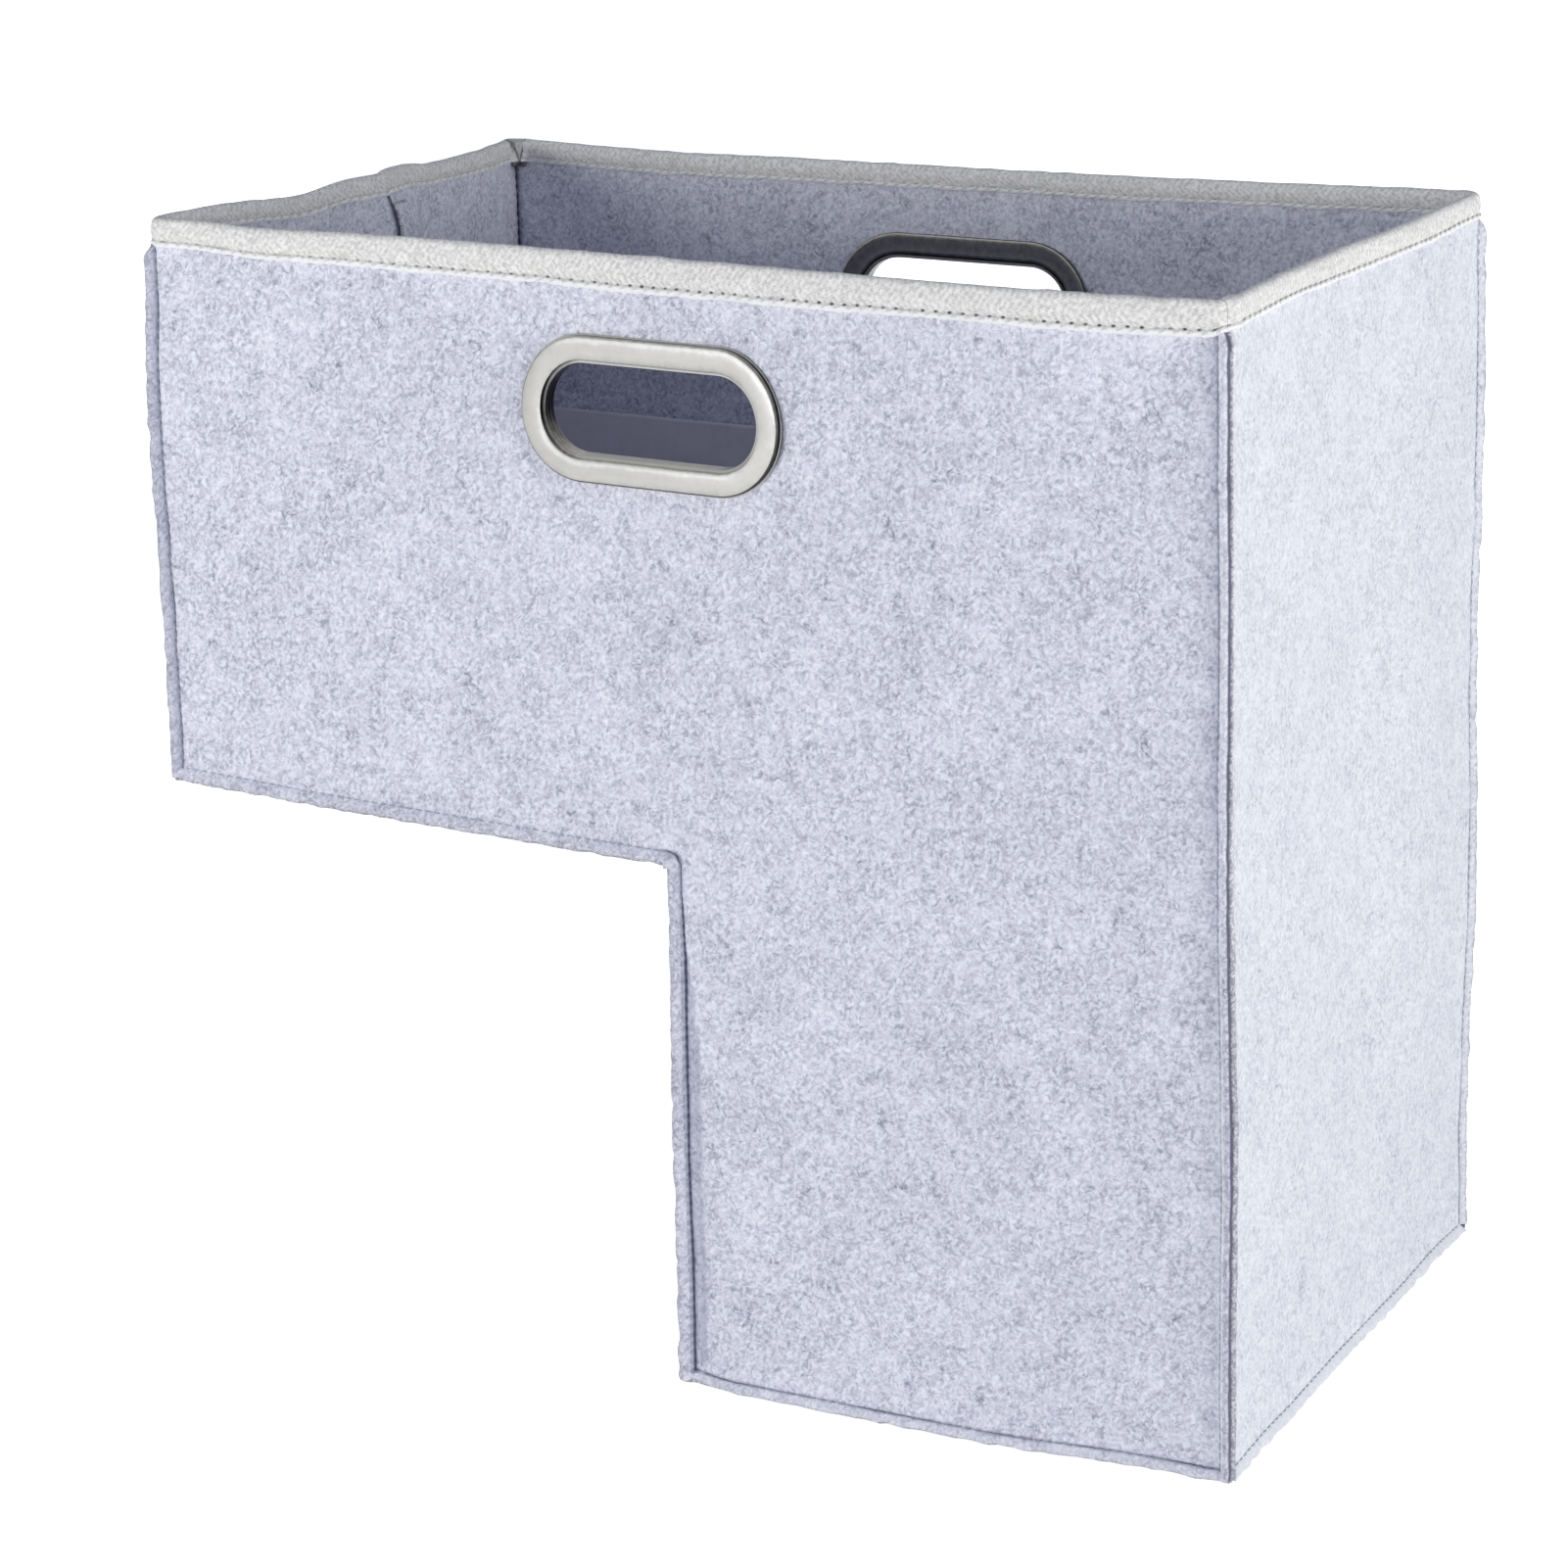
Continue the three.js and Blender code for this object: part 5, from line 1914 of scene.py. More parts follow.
@dataclass(frozen=True)
class Handle:
    """The oval steel hand hole of one long wall."""

    side: Side
    centre_x: float
    centre_z: float
    hole_length: float = 80.5 * MM
    hole_height: float = 29 * MM
    ring_width: float = 9.2 * MM
    barrel_wall: float = 1.2 * MM
    groove: float = 0.55 * MM
    depth: float = 2.6 * MM

    @property
    def waist(self) -> float:
        """How far the pressing reaches out above the groove round its foot."""
        return self.ring_width - self.groove

    @classmethod
    def of_frame(cls, side: Side) -> "Handle":
        """Reads the ring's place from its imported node."""
        low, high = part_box(f"{side.name.lower()}_handle_outer_ring")
        return cls(side, (low.x + high.x) / 2, (low.z + high.z) / 2)

    def distance(self, x: Array, z: Array) -> Array:
        """The distance from the hole's middle line, a level stroke between its two centres."""
        half = (self.hole_length - self.hole_height) / 2
        along = np.clip(x - self.centre_x, -half, half)
        return np.hypot(x - self.centre_x - along, z - self.centre_z)

    def swept(self, shop: Workshop, profile: Array, shaded: Array) -> Made:
        """Carries a closed profile round the stadium.

        Args:
            shop: The workshop.
            profile: Points of distance out from the hole's edge and depth behind the wall's
                outer face, k by 2.
            shaded: How much painted shade lies at each profile point, k.

        Returns:
            The ring as one closed body, on the slack wall.
        """
        half = (self.hole_length - self.hole_height) / 2
        arc = np.linspace(-math.pi / 2, math.pi / 2, 49)
        run = np.linspace(half, -half, 14)[1:-1]
        level = np.full(len(run), math.pi / 2)
        angle = np.concatenate([arc, level, arc + math.pi, -level])
        shift = np.concatenate([np.full(len(arc), half), run, np.full(len(arc), -half), run[::-1]])
        radius = self.hole_height / 2 + profile[:, 0]
        x = self.centre_x + shift[:, None] + radius[None, :] * np.cos(angle)[:, None]
        z = self.centre_z + radius[None, :] * np.sin(angle)[:, None]
        y = np.broadcast_to(shop.planes.face_y(self.side) - self.side.value * profile[None, :, 1], x.shape)
        points = np.stack([x, y, z], -1)
        quads = loop_quads(len(angle), len(profile), closed_rows=True)
        # Painted shade by profile point; the front ring adds painted shade and a painted sheen by
        # direction.
        recess, sheen = np.broadcast_to(shaded, x.shape), np.zeros_like(x)
        if self.side is Side.FRONT:
            recess, sheen = self.lit(profile, recess, angle[:, None])
        values = {"recess": recess.ravel(), "sheen": sheen.ravel()}
        return Made(shop.slack.moved(points.reshape(-1, 3)), quads, values=values)

    def lit(self, profile: Array, recess: Array, angle: Array) -> tuple[Array, Array]:
        """Painted light round the ring: a painted sheen for the pressing's slight crown, and painted shade
        on its dark lines.

        The painted sheen is bright on the side that looks up, t (0.9 sin + 0.5 cos) with t from -1
        at its inner edge to 1 at its outer one. The painted shade of the outline is darkest below
        and to the right, and that of the hole's own edge to the left.

        Args:
            profile: The profile's points, k by 2.
            recess: The painted shade at each point, n by k.
            angle: The direction out of the hole, n by 1.

        Returns:
            The painted shade and the painted sheen, n by k.
        """
        out, depth, waist = profile[:, 0], profile[:, 1], self.waist
        across = np.clip(2 * (out - 1.1 * MM) / (waist - 1.1 * MM) - 1, -1, 1)
        sheen = across * (0.9 * np.sin(angle) + 0.5 * np.cos(angle)) * (depth < -1.9 * MM)
        outline = 0.72 - 0.30 * np.sin(angle) + 0.22 * np.cos(angle)
        left = np.clip(-np.cos(angle), 0, 1)
        hole_side = np.clip(0.28 * recess + 0.75 * left, 0, 1)
        recess = np.where(out > waist - 0.5 * MM, recess * outline, recess)
        return np.where(out < 1.3 * MM, hole_side, recess), np.clip(sheen, -1, 1)

    def outer_profile(self, felt: Felt) -> Array:
        """The pressed ring, from its barrel round the foot, the groove, the flat face and the lip.

        Rounded corners are quarter circles. The face is dished by a shallow sine.

        Args:
            felt: Gives the wall that the barrel passes.

        Returns:
            Points of distance out from the hole's edge and depth behind the wall's face.
        """
        wall, width, waist, face = self.barrel_wall, self.ring_width, self.waist, -self.depth
        end = felt.thickness + 1.9 * MM
        turn = np.linspace(0, math.pi / 2, 6)
        foot = 0.55 * MM
        corner = 0.6 * MM
        lip_start = 1.5 * MM
        bead = 0.5 * MM
        barrel = np.linspace(face + 1.75 * MM, end - 0.3 * MM, 10)
        share = np.linspace(0, 1, 12)[1:-1]
        outside = np.stack([
            waist - corner + corner * np.cos(turn),
            face + corner - corner * np.sin(turn),
        ], -1)
        flat = np.stack([
            waist - corner - (waist - corner - lip_start) * share,
            face - 0.10 * MM * np.sin(math.pi * share),
        ], -1)
        lip = np.stack([bead * (1 - np.sin(turn)), face + 1.0 * MM + bead * (1 - np.cos(turn))], -1)
        return np.concatenate([
            np.stack([np.zeros(10), barrel], -1),
            [(0.3 * MM, end), (wall, end), (wall, -0.05 * MM)],
            [(width - 0.3 * MM, -0.05 * MM), (width, -0.2 * MM), (width, -foot)],
            [(width - 0.15 * MM, -foot - 0.15 * MM), (waist - 0.25 * MM, -foot - 0.2 * MM)],
            [(waist - 0.25 * MM, -foot - 0.55 * MM), (waist, -foot - 0.65 * MM)],
            outside,
            flat,
            [(lip_start, face), (1.25 * MM, face + 0.08 * MM), (1.1 * MM, face + 0.35 * MM)],
            [(1.08 * MM, face + 0.85 * MM), (0.85 * MM, face + 0.98 * MM)],
            lip + (0.0, 0.05 * MM),
        ])

    def grime(self, profile: Array) -> Array:
        """The painted shade of the outer ring at each profile point.

        The outer corner, the groove above the foot, the foot and the step behind the lip get
        painted shade, the face's painted shade deepens towards its two edges as |2 s - 1|^3, and
        painted dark and bright lines, standing in for reflections, run round the barrel.
        """
        out, depth, waist = profile[:, 0], profile[:, 1], self.waist
        share = np.clip((out - 1.5 * MM) / (waist - 2.1 * MM), 0, 1)
        outer_corner = (out > waist - 0.45 * MM) & (depth < -1.9 * MM)
        groove = (out > waist - 0.5 * MM) & (depth > -1.25 * MM) & (depth < -0.72 * MM)
        foot = (out > waist + 0.2 * MM) & (depth > -0.3 * MM)
        step = (out > 0.8 * MM) & (out < 1.3 * MM) & (depth > -2.55 * MM) & (depth < -1.5 * MM)
        barrel = (out < 0.05 * MM) & (depth > -1.0 * MM)
        dark = np.where(depth < -2.5 * MM, 0.10 * np.abs(2 * share - 1) ** 3, 0.0)
        lines = 0.45 + 0.5 * np.cos(2 * math.pi * (depth + 0.9 * MM) / (1.9 * MM))
        shades = ((outer_corner, 0.85), (groove, 0.95), (foot, 0.9), (step, 0.9), (barrel, lines))
        for where, value in shades:
            dark = np.where(where, value, dark)
        return np.clip(dark, 0, 1)

    def inner_painted_shade(self, profile: Array) -> Array:
        """The painted light and shade of the inner ring: a dim face between a painted highlight on the
        outer edge and painted shade at the hole.
        """
        share = np.clip((profile[:, 0] - self.barrel_wall) / (self.ring_width - self.barrel_wall), 0, 1)
        places = [0, 0.10, 0.2, 0.55, 0.80, 0.90, 0.97, 1.0]
        return np.interp(share, places, [0.9, 0.85, 0.1, 0.42, 0.30, 0.75, 0.0, 0.85])

    def inner_profile(self, felt: Felt) -> Array:
        """The plain ring inside the wall: a flat band with rolled edges."""
        near = felt.thickness + 0.05 * MM
        far = near + 1.75 * MM
        width = self.ring_width
        start = self.barrel_wall + 0.25 * MM
        return np.array([
            (start, near),
            (width - 0.3 * MM, near),
            (width, near + 0.3 * MM),
            (width + 0.05 * MM, near + 0.9 * MM),
            (width - 0.25 * MM, far - 0.3 * MM),
            (width - 0.8 * MM, far - 0.05 * MM),
            *((width * share, far) for share in (0.84, 0.76, 0.66, 0.56, 0.46)),
            (start + 1.6 * MM, far),
            (start + 0.9 * MM, far),
            (start + 0.25 * MM, far - 0.25 * MM),
            (start, far - 0.7 * MM),
        ])


class LongWall:
    """A long wall with its sewn edges, rim tape, hand hole and stiffener board."""

    def __init__(self, shop: Workshop, side: Side) -> None:
        """Takes the side."""
        self.shop = shop
        self.side = side
        self.body = side.name.lower()
        self.tape = TapeGauge()
        self.handle = Handle.of_frame(side)

    def build(self) -> list[Piece]:
        """Makes every piece of the wall, riding on its own body."""
        pieces = [
            self.panel(),
            self.seam_thread(),
            *self.rim(),
            *self.rings(),
            self.board(),
        ]
        for piece in pieces:
            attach(piece, self.body)
        return pieces

    def panel(self) -> Piece:
        """The felt wall."""
        made = WallSheet(self.shop, self.side, self.handle, self.tape).made()
        piece = made.object(f"{self.body}_panel_felt", self.shop.grey_felt)
        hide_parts(f"{self.body}_panel")
        return piece

    def seam_thread(self) -> Piece:
        """The thread in the groove of every sewn edge of the wall."""
        p, felt = self.shop.planes, self.shop.felt
        inset = felt.groove - 0.1 * MM
        upper = p.top - self.tape.drop
        y = p.face_y(self.side) + self.side.value * felt.thread_stands
        corners = [
            (p.left + inset, upper), (p.left + inset, p.overhang + inset),
            (p.riser + inset, p.overhang + inset), (p.riser + inset, p.bottom + inset),
            (p.right - inset, p.bottom + inset), (p.right - inset, upper),
        ]
        runs = []
        for (x0, z0), (x1, z1) in zip(corners[:-1], corners[1:]):
            share = np.linspace(0, 1, 60)
            line = np.stack([x0 + (x1 - x0) * share, np.full(60, y), z0 + (z1 - z0) * share], -1)
            out = np.tile([0.0, self.side.value, 0.0], (60, 1))
            runs.append(stitched(self.shop, line, out, felt.stitch_pitch, *felt.seam_stitch))
        piece = joined(runs).object(f"{self.body}_seam_thread", self.shop.grey_thread)
        return piece

    def rim(self) -> list[Piece]:
        """The straight tape and its stitches. The front wall's also turns the right corner."""
        p, felt = self.shop.planes, self.shop.felt
        y = p.face_y(self.side) - self.side.value * felt.half
        first, last = (felt.half + corner_radius(self.shop, end, self.side) for end in End)
        x = np.arange(p.left + first, p.right - last - 0.4 * MM, RimTape.pace)
        x = np.append(x, p.right - last)
        path = np.stack([x, np.full_like(x, y)], -1)
        outward = np.tile([0.0, float(self.side.value)], (len(x), 1))
        if self.side is Side.FRONT:
            turn_path, turn_out = corner_arc(self.shop, End.RIGHT, Side.FRONT)
            path = np.concatenate([path[:-1], turn_path])
            outward = np.concatenate([outward[:-1], turn_out])
        tape = RimTape(self.shop, self.tape, path, outward)
        cloth = tape.made().object(f"{self.body}_rim_tape", self.shop.twill)
        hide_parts(f"{self.body}_rim_binding")
        self.tape.flat(tape.along[-1], self.shop.felt)
        thread = tape.stitches().object(f"{self.body}_rim_stitches", self.shop.white_thread)
        return [cloth, thread]

    def rings(self) -> list[Piece]:
        """The outer ring with its barrel, and the inner ring."""
        outer = self.handle.outer_profile(self.shop.felt)
        inner = self.handle.inner_profile(self.shop.felt)
        # Each ring's profile, with its painted light and shade.
        made = {
            "handle_outer_ring": (outer, self.handle.grime(outer)),
            "handle_inner_ring": (inner, self.handle.inner_painted_shade(inner)),
        }
        pieces = []
        for node, (profile, grime) in made.items():
            swept = self.handle.swept(self.shop, profile, grime)
            ring = swept.object(f"{self.body}_{node}_steel", self.shop.steel, 38)
            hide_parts(f"{self.body}_{node}")
            pieces.append(ring)
        return pieces

    def board(self) -> Piece:
        """The stiffener board behind the felt, with rounded corners and edges."""
        node = f"{self.body}_liner_board"
        low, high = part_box(node)
        p, felt = self.shop.planes, self.shop.felt
        rim = 1.0 * MM
        step_x = p.riser + felt.thickness + 0.3 * MM
        step_z = p.overhang + felt.thickness + 0.3 * MM
        lines_x = graded_lines(low.x, high.x, 6 * MM, [(low.x, 1), (step_x, 1), (high.x, -1)])
        lines_z = graded_lines(low.z, high.z, 6 * MM, [(low.z, 1), (step_z, 1), (high.z, -1)])
        x, z = np.meshgrid(lines_x, lines_z, indexing="ij")
        step = np.maximum(x - step_x, z - step_z)
        edge = np.minimum.reduce([x - low.x, high.x - x, z - low.z, high.z - z, step])
        half = (high.y - low.y) / 2
        swell = np.maximum(half * np.sqrt(1 - (1 - np.clip(edge / rim, 0, 1)) ** 2), 0.3 * MM)
        y = (low.y + high.y) / 2
        grids = [self.shop.slack.moved(np.stack([x, y + sign * swell, z], -1)) for sign in (1, -1)]
        centre_x = (x[:-1, :-1] + x[1:, 1:]) / 2
        centre_z = (z[:-1, :-1] + z[1:, 1:]) / 2
        used, faces = shell(grids[0], grids[1], (centre_x > step_x) | (centre_z > step_z))
        points = np.concatenate([grid.reshape(-1, 3) for grid in grids])
        piece = Made(points[used], faces).object(f"{self.body}_board", self.shop.board)
        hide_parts(node)
        return piece


def corner_arc(shop: Workshop, end: End, side: Side) -> tuple[Array, Array]:
    """The rim's path round a corner, from the long wall to the end.

    The front right corner is folded tight, and the others are rounder.

    Args:
        shop: The workshop.
        end: Which end.
        side: Which long wall.

    Returns:
        The points of a quarter circle in plan, and the outward directions, wall first.
    """
    p, felt = shop.planes, shop.felt
    radius = corner_radius(shop, end, side)
    inset = felt.half + radius
    centre = np.array([p.face_x(end) - end.value * inset, p.face_y(side) - side.value * inset])
    turn = np.linspace(0, math.pi / 2, 13)
    outward = np.stack([end.value * np.sin(turn), side.value * np.cos(turn)], -1)
    return centre + outward * radius, outward


def corner_radius(shop: Workshop, end: End, side: Side) -> float:
    """The radius of the rim's middle line at a corner."""
    tight = end is End.RIGHT and side is Side.FRONT
    return shop.planes.hinge_offset - shop.felt.half if tight else TapeGauge().corner_radius


class BasketEnd:
    """An end of the basket in three lengths: front, crease and rear.

    Attributes:
        lap: How far one half's tape stands over the other's at the left end's crease.
    """

    lap = 0.45 * MM

    def __init__(self, shop: Workshop, end: End) -> None:
        """Takes which end this is."""
        self.shop = shop
        self.end = end
        self.name = end.name.lower()
        self.tape = TapeGauge()
        self.ply: list[Piece] = []

    def build(self) -> list[Piece]:
        """Makes the felt, tape and stitches of each length."""
        pieces = self.corner_strip() if self.end is End.RIGHT else []
        self.ply = pieces[:1]
        for strip in Strip:
            tail = self.end is End.RIGHT and strip is Strip.FRONT
            group = [self.felt(strip, tail), *self.rim(strip, tail)]
            if strip is not Strip.CREASE and not tail:
                group.append(self.seam_thread(strip))
            for piece in group:
                self.bend(piece, strip, tail)
            pieces += group
        if self.end is End.RIGHT:
            pieces.append(self.tape_fold())
        else:
            pieces.append(self.allowance())
        return pieces

    def bend(self, piece: Piece, strip: Strip, tail: bool) -> None:
        """Bakes a piece's transform into its mesh. The length beside the open pivot just rides."""
        p = self.shop.planes
        x, z = p.face_x(self.end), p.top
        rear, front = f"{self.name}_rear", f"{self.name}_front"
        if strip is Strip.CREASE:
            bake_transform(piece)
        elif strip is Strip.REAR:
            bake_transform(piece)
        elif tail:
            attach(piece, front)
        else:
            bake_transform(piece)

    def felt(self, strip: Strip, tail: bool) -> Piece:
        """The felt of one length."""
        sheet = EndSheet(self.shop, self.end, strip, self.tape, tail)
        cloth = self.shop.end_felt if self.end is End.RIGHT else self.shop.grey_felt
        piece = sheet.made().object(f"{self.name}_end_{strip.value}_felt", cloth)
        nodes = {
            Strip.FRONT: [f"{self.name}_end_front"] + ([] if tail else [f"front_{self.name}_seam"]),
            Strip.REAR: [f"{self.name}_end_rear", f"back_{self.name}_seam"],
            Strip.CREASE: [f"{self.name}_end_front", f"{self.name}_end_rear"],
        }[strip]
        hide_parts(*nodes)
        return piece

    def rim(self, strip: Strip, tail: bool) -> list[Piece]:
        """The tape of one length and its stitches."""
        p, felt = self.shop.planes, self.shop.felt
        x = p.face_x(self.end) - self.end.value * felt.half
        cut = EndSheet.cut
        side = Side.BACK if strip is Strip.REAR else Side.FRONT
        start = p.depth_half - felt.half - corner_radius(self.shop, self.end, side)
        low, high = (-cut, cut) if strip is Strip.CREASE else (-start, -cut)
        y = np.linspace(low, high, round((high - low) / RimTape.pace) + 1)
        step = None
        if strip is Strip.CREASE and self.end is End.LEFT:
            y = np.sort(np.concatenate([y[np.abs(y) > 1.5 * MM], np.linspace(-1.2, 1.2, 9) * MM]))
            step = self.lap * smoothstep(y, -1.2 * MM, 1.2 * MM) * hump(np.clip(y, 0, None), 14 * MM)
            step = step - 0.3 * self.lap * smoothstep(-y, 0.0, 1.5 * MM) * hump(y, 12 * MM)
        path = np.stack([np.full_like(y, x), y], -1)
        outward = np.tile([float(self.end.value), 0.0], (len(y), 1))
        shrink = None
        if tail:
            turn = np.linspace(math.radians(82), 0, 9)[:-1]
            radius = 2.2 * MM
            axis = np.array([p.face_x(self.end) - self.end.value * (radius + felt.half), -p.hinge_y])
            around = np.stack([self.end.value * np.cos(turn), -np.sin(turn)], -1)
            path = np.concatenate([axis + around * radius, path])
            outward = np.concatenate([around, outward])
            shrink = np.concatenate([np.linspace(0.5, 0.92, 8), np.ones(len(y))])
        elif strip is not Strip.CREASE:
            turn_path, turn_out = corner_arc(self.shop, self.end, side)
            path = np.concatenate([turn_path[:-1] * (1, -side.value), path])
            outward = np.concatenate([turn_out[:-1] * (1, -side.value), outward])
        crease = None
        if strip is Strip.REAR and self.end is End.LEFT:
            run = np.concatenate([[0], np.cumsum(np.linalg.norm(np.diff(path, axis=0), axis=1))])
            crease = (run[-1] - run[len(turn_path) - 1] / 2, 5.5 * MM)
        if strip is Strip.REAR:
            path = path[::-1] * (1, -1)
            outward = outward[::-1] * (1, -1)
        tape = RimTape(self.shop, self.tape, path, outward, shrink, step, crease)
        cloth = tape.made().object(f"{self.name}_end_{strip.value}_tape", self.shop.twill)
        nodes = [strip.value] if strip is not Strip.CREASE else ["front", "rear"]
        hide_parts(*[f"{self.name}_end_{half}_binding" for half in nodes])
        self.tape.flat(tape.along[-1], self.shop.felt)
        thread = tape.stitches().object(f"{self.name}_end_{strip.value}_stitches", self.shop.white_thread)
        return [cloth, thread]

    def _groove_thread(self, y: float, name: str) -> Piece:
        """An upright run of stitches in a corner groove."""
        p, felt = self.shop.planes, self.shop.felt
        x = p.face_x(self.end) + self.end.value * felt.thread_stands
        z = np.linspace(p.floor_z(self.end) + felt.groove, p.top - self.tape.drop, 60)
        line = np.stack([np.full(60, x), np.full(60, y), z], -1)
        out = np.tile([float(self.end.value), 0.0, 0.0], (60, 1))
        made = stitched(self.shop, line, out, felt.stitch_pitch, *felt.seam_stitch)
        piece = made.object(name, self.shop.grey_thread)
        return piece

    def seam_thread(self, strip: Strip) -> Piece:
        """The thread of a corner seam, on this end's side."""
        sign = 1 if strip is Strip.REAR else -1
        y = sign * (self.shop.planes.depth_half - self.shop.felt.groove + 0.1 * MM)
        return self._groove_thread(y, f"{self.name}_end_{strip.value}_thread")

    def allowance(self) -> Piece:
        """The seam allowance inside the crease."""
        sheet = CreaseAllowance(self.shop, self.tape)
        piece = sheet.made().object(f"{self.name}_crease_allowance", self.shop.grey_felt)
        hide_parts(f"{self.name}_end_rear")
        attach(piece, f"{self.name}_rear")
        return piece

    def tape_fold(self) -> Piece:
        """The turned-in end of this end's tape, which laps over the front wall's at the corner."""
        p, felt = self.shop.planes, self.shop.felt
        turn_path, turn_out = corner_arc(self.shop, End.RIGHT, Side.FRONT)
        straight = -p.hinge_y + np.array([0.9, 1.8, 2.7, 3.4, 3.9]) * MM
        path = np.concatenate([turn_path[6:], np.stack([np.full(5, p.right - felt.half), straight], -1)])
        outward = np.concatenate([turn_out[6:], np.tile([1.0, 0.0], (5, 1))])
        share = np.linspace(0, 1, len(path))
        bulge = 1.0 + 0.42 * np.sqrt(np.clip(1 - (2 * share - 1) ** 2, 0.12, 1))
        raised = np.full(len(path), 0.12 * MM)
        tape = RimTape(self.shop, self.tape, path, outward, shrink=bulge, step=raised)
        piece = tape.made().object(f"{self.name}_end_tape_fold", self.shop.twill)
        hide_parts(f"{self.name}_end_front_binding")
        self.tape.flat(tape.along[-1] * 1.5, self.shop.felt)
        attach(piece, f"{self.name}_front")
        return piece

    def corner_strip(self) -> list[Piece]:
        """The ply and thread that stay with the front wall at the open pivot."""
        made = CornerStrip(self.shop, self.tape).made()
        piece = made.object("front_right_seam_felt", self.shop.grey_felt)
        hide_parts("front_right_seam")
        y = -(self.shop.planes.depth_half - self.shop.felt.groove + 0.1 * MM)
        thread = self._groove_thread(y, "front_right_seam_thread")
        for sewn in (piece, thread):
            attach(sewn, "front")
        return [piece, thread]


class Floors:
    """The sheets between the walls, carried on the back wall's body."""

    def __init__(self, shop: Workshop) -> None:
        """Works out how far the front wall comes in at the end of the fold."""
        self.shop = shop
        p = shop.planes
        joints = {joint["name"]: joint for joint in frame["joints"]}
        corner, crease = joints["fold_flat"], joints["left_crease"]
        run = crease["pos_m"][0] - corner["pos_m"][0]
        arm = math.hypot(run, p.hinge_y)
        angle = math.radians(corner["range_deg"][1]) + math.atan2(run, p.hinge_y)
        travel = 2 * p.hinge_y - 2 * arm * math.cos(angle)
        self.anchor = p.back + shop.felt.tip_reach
        reach = self.anchor - (p.front - shop.felt.tip_reach)
        self.keep = 1 - travel / reach

    def build(self) -> list[Piece]:
        """Makes the three sheets and the two kerb strips with their thread."""
        pieces = []
        kerbs = {}
        for end, kind in ((End.LEFT, FloorKind.STEP), (End.RIGHT, FloorKind.BOTTOM)):
            name = f"{end.name.lower()}_bottom_seam"
            cloth = self.shop.end_felt if end is End.RIGHT else self.shop.grey_felt
            kerbs[kind] = KerbStrip(self.shop, end).made().object(f"{name}_felt", cloth)
            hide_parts(name)
            pieces += [kerbs[kind], self.kerb_thread(end, f"{name}_thread")]
        for kind in FloorKind:
            made = FloorSheet(self.shop, kind).made()
            piece = made.object(f"{kind.value}_felt", self.shop.grey_felt)
            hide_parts(kind.value)
            self.flat(kind)
            pieces.append(piece)
        for piece in pieces:
            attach(piece, "back")
            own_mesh(piece)
        return pieces

    def flat(self, kind: FloorKind) -> tuple[float, float]:
        """A sheet's cut size: its length and the basket's depth, with the seam allowances."""
        p, allowance = self.shop.planes, self.shop.felt.allowance
        length = {
            FloorKind.STEP: p.riser - p.left + allowance,
            FloorKind.RISER: p.overhang - p.bottom + allowance,
            FloorKind.BOTTOM: p.right - p.riser + 2 * allowance,
        }[kind]
        return length, 2 * (p.depth_half + allowance)

    def kerb_thread(self, end: End, name: str) -> Piece:
        """The thread in the groove between an end and its floor."""
        p, felt = self.shop.planes, self.shop.felt
        y = np.linspace(-p.hinge_y, p.hinge_y, 80)
        x = np.full(80, p.face_x(end) + end.value * felt.thread_stands)
        z = np.full(80, p.floor_z(end) + felt.groove - 0.1 * MM)
        out = np.tile([float(end.value), 0.0, 0.0], (80, 1))
        line = np.stack([x, y, z], -1)
        made = stitched(self.shop, line, out, felt.stitch_pitch, *felt.seam_stitch)
        return made.object(name, self.shop.grey_thread)


def white_for(tree: bpy.types.NodeTree, path: bpy.types.Node) -> Socket:
    """One for the rays that see the backdrop: the camera's, and those through metal and glass.

    Args:
        tree: The node tree to add to.
        path: Its Light Path node.

    Returns:
        The greatest of the camera, glossy and transmission outputs.
    """
    value = path.outputs["Is Camera Ray"]
    for name in ("Is Glossy Ray", "Is Transmission Ray"):
        node = tree.nodes.new("ShaderNodeMath")
        node.operation = "MAXIMUM"
        tree.links.new(value, node.inputs[0])
        tree.links.new(path.outputs[name], node.inputs[1])
        value = node.outputs[0]
    return value


@dataclass(frozen=True)
class SoftBox:
    """A rectangular lamp that faces a point and isn't seen in reflections."""

    name: str
    place: Triple
    target: Triple
    size: tuple[float, float]
    power: float
    colour: Triple = (1.0, 0.985, 0.955)

    def build(self) -> None:
        """Makes the lamp."""
        data = bpy.data.lights.new(self.name, "AREA")
        data.shape = "RECTANGLE"
        data.size, data.size_y = self.size
        data.energy = self.power
        data.color = self.colour
        lamp = bpy.data.objects.new(self.name, data)
        lamp.location = self.place
        lamp.visible_glossy = False
        facing = Vector(self.target) - Vector(self.place)
        lamp.rotation_euler = facing.to_track_quat("-Z", "Y").to_euler()
        bpy.context.scene.collection.objects.link(lamp)


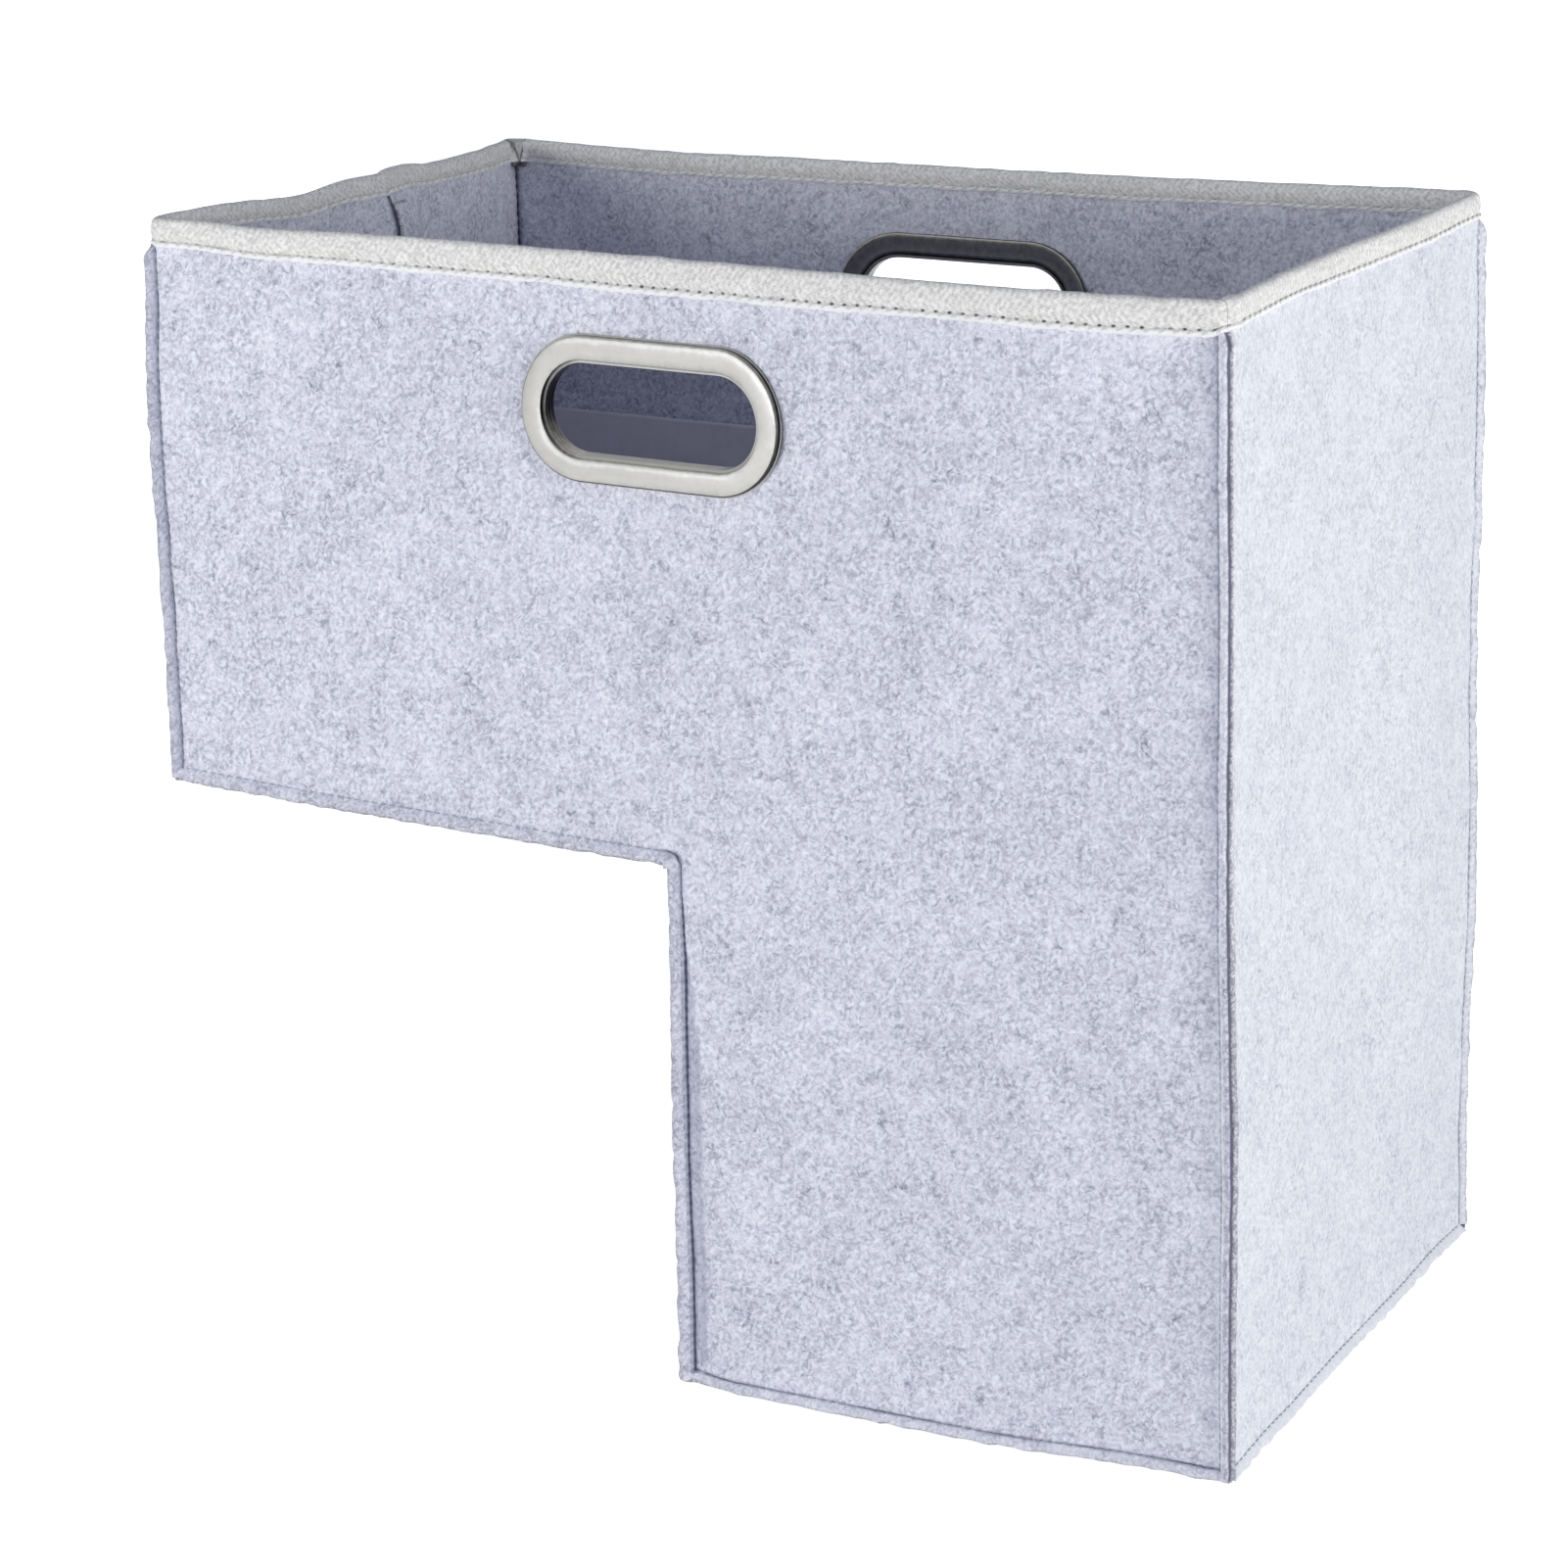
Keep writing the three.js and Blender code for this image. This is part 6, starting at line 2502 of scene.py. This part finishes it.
@dataclass(frozen=True)
class Studio:
    """The camera of the photograph, a pale floor and soft light.

    Attributes:
        azimuth: The camera's direction round the basket, in degrees from -Y towards +X.
        elevation: How high it looks from, in degrees.
        roll: Its turn about its own axis, in degrees.
        focal_px: Its focal length in pixels of the photograph.
        image_px: The photograph's width in pixels.
        eye: Its place.
        sky_colour: The colour of the light from all round.
        sky_strength: Its strength.
        floor_glow: How much light the floor adds for the camera.
        boxes: The lamps.
    """

    azimuth: float = 27.7712
    elevation: float = 16.6723
    roll: float = -1.2246
    focal_px: float = 4524.1
    image_px: float = 1601.0
    eye: Triple = (0.6844, -1.3301, 0.6326)
    sky_colour: Triple = (0.80, 0.87, 1.10)
    sky_strength: float = 0.27
    floor_glow: float = 0.80
    boxes: tuple[SoftBox, ...] = (
        SoftBox("right_box", (2.3, -0.45, 0.42), (0.1, 0, 0.25), (1.2, 0.8), 33),
        SoftBox("front_box", (-1.15, -2.05, 0.56), (0, 0, 0.25), (1.2, 0.8), 28),
        SoftBox("back_box", (-1.7, 1.9, 0.5), (0, 0, 0.25), (1.4, 0.8), 18),
    )

    def build(self) -> None:
        """Makes the camera, the light and the floor."""
        self.camera()
        self.world()
        for box in self.boxes:
            box.build()
        self.floor()

    def camera(self) -> None:
        """Places the camera by azimuth, elevation and roll. Its lens follows from the image."""
        az, el, roll = (math.radians(v) for v in (self.azimuth, self.elevation, self.roll))
        back = Vector((math.sin(az) * math.cos(el), -math.cos(az) * math.cos(el), math.sin(el)))
        level = Vector((math.cos(az), math.sin(az), 0))
        upright = back.cross(level)
        right = math.cos(roll) * level + math.sin(roll) * upright
        up = -math.sin(roll) * level + math.cos(roll) * upright
        data = bpy.data.cameras.new("photo_camera")
        data.sensor_width = 36.0
        data.lens = self.focal_px / self.image_px * data.sensor_width
        data.clip_end = 60
        camera = bpy.data.objects.new("photo_camera", data)
        turn = Matrix((right, up, back)).transposed()
        camera.matrix_world = Matrix.Translation(self.eye) @ turn.to_4x4()
        bpy.context.scene.collection.objects.link(camera)
        bpy.context.scene.camera = camera

    def world(self) -> None:
        """Even soft light, and a white backdrop for the camera and for reflections."""
        world = bpy.data.worlds.new("studio")
        world.use_nodes = True
        bpy.context.scene.world = world
        tree = world.node_tree
        tree.nodes.clear()
        path = tree.nodes.new("ShaderNodeLightPath")
        seen = white_for(tree, path)
        sky = tree.nodes.new("ShaderNodeBackground")
        sky.inputs["Color"].default_value = (*self.sky_colour, 1)
        sky.inputs["Strength"].default_value = self.sky_strength
        white = tree.nodes.new("ShaderNodeBackground")
        white.inputs["Strength"].default_value = 1.0
        mix = tree.nodes.new("ShaderNodeMixShader")
        output = tree.nodes.new("ShaderNodeOutputWorld")
        tree.links.new(seen, mix.inputs[0])
        tree.links.new(sky.outputs[0], mix.inputs[1])
        tree.links.new(white.outputs[0], mix.inputs[2])
        tree.links.new(mix.outputs[0], output.inputs[0])

    def floor(self) -> None:
        """A wide pale floor that goes white for the camera but keeps the basket's shadow."""
        mesh = bpy.data.meshes.new("studio_floor")
        size = 14.0
        corners = [(-size, -size, 0), (size, -size, 0), (size, size, 0), (-size, size, 0)]
        mesh.from_pydata(corners, [], [(0, 1, 2, 3)])
        floor = bpy.data.objects.new("studio_floor", mesh)
        n = Nodes("studio_floor")
        n.set("Base Color", (0.93, 0.93, 0.93, 1))
        n.set("Roughness", 0.9)
        n.set("Specular IOR Level", 0.0)
        n.set("Emission Color", (1, 1, 1, 1))
        seen = white_for(n.tree, n.add("ShaderNodeLightPath"))
        n.set("Emission Strength", n.times(seen, self.floor_glow))
        mesh.materials.append(n.material)
        bpy.context.scene.collection.objects.link(floor)


def main() -> None:
    """Builds the basket and the studio, and logs each piece's face count."""
    logging.basicConfig(level=logging.INFO, format="%(message)s")
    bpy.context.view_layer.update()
    Studio().build()
    shop = Workshop()
    groups = [LongWall(shop, side) for side in Side]
    groups += [BasketEnd(shop, end) for end in End]
    groups.append(Floors(shop))
    for group in groups:
        for piece in group.build():
            log.info("%s: %d faces", piece.name, len(piece.data.polygons))
    bpy.context.scene.view_settings.view_transform = "Standard"


if __name__ == "__main__":
    main()
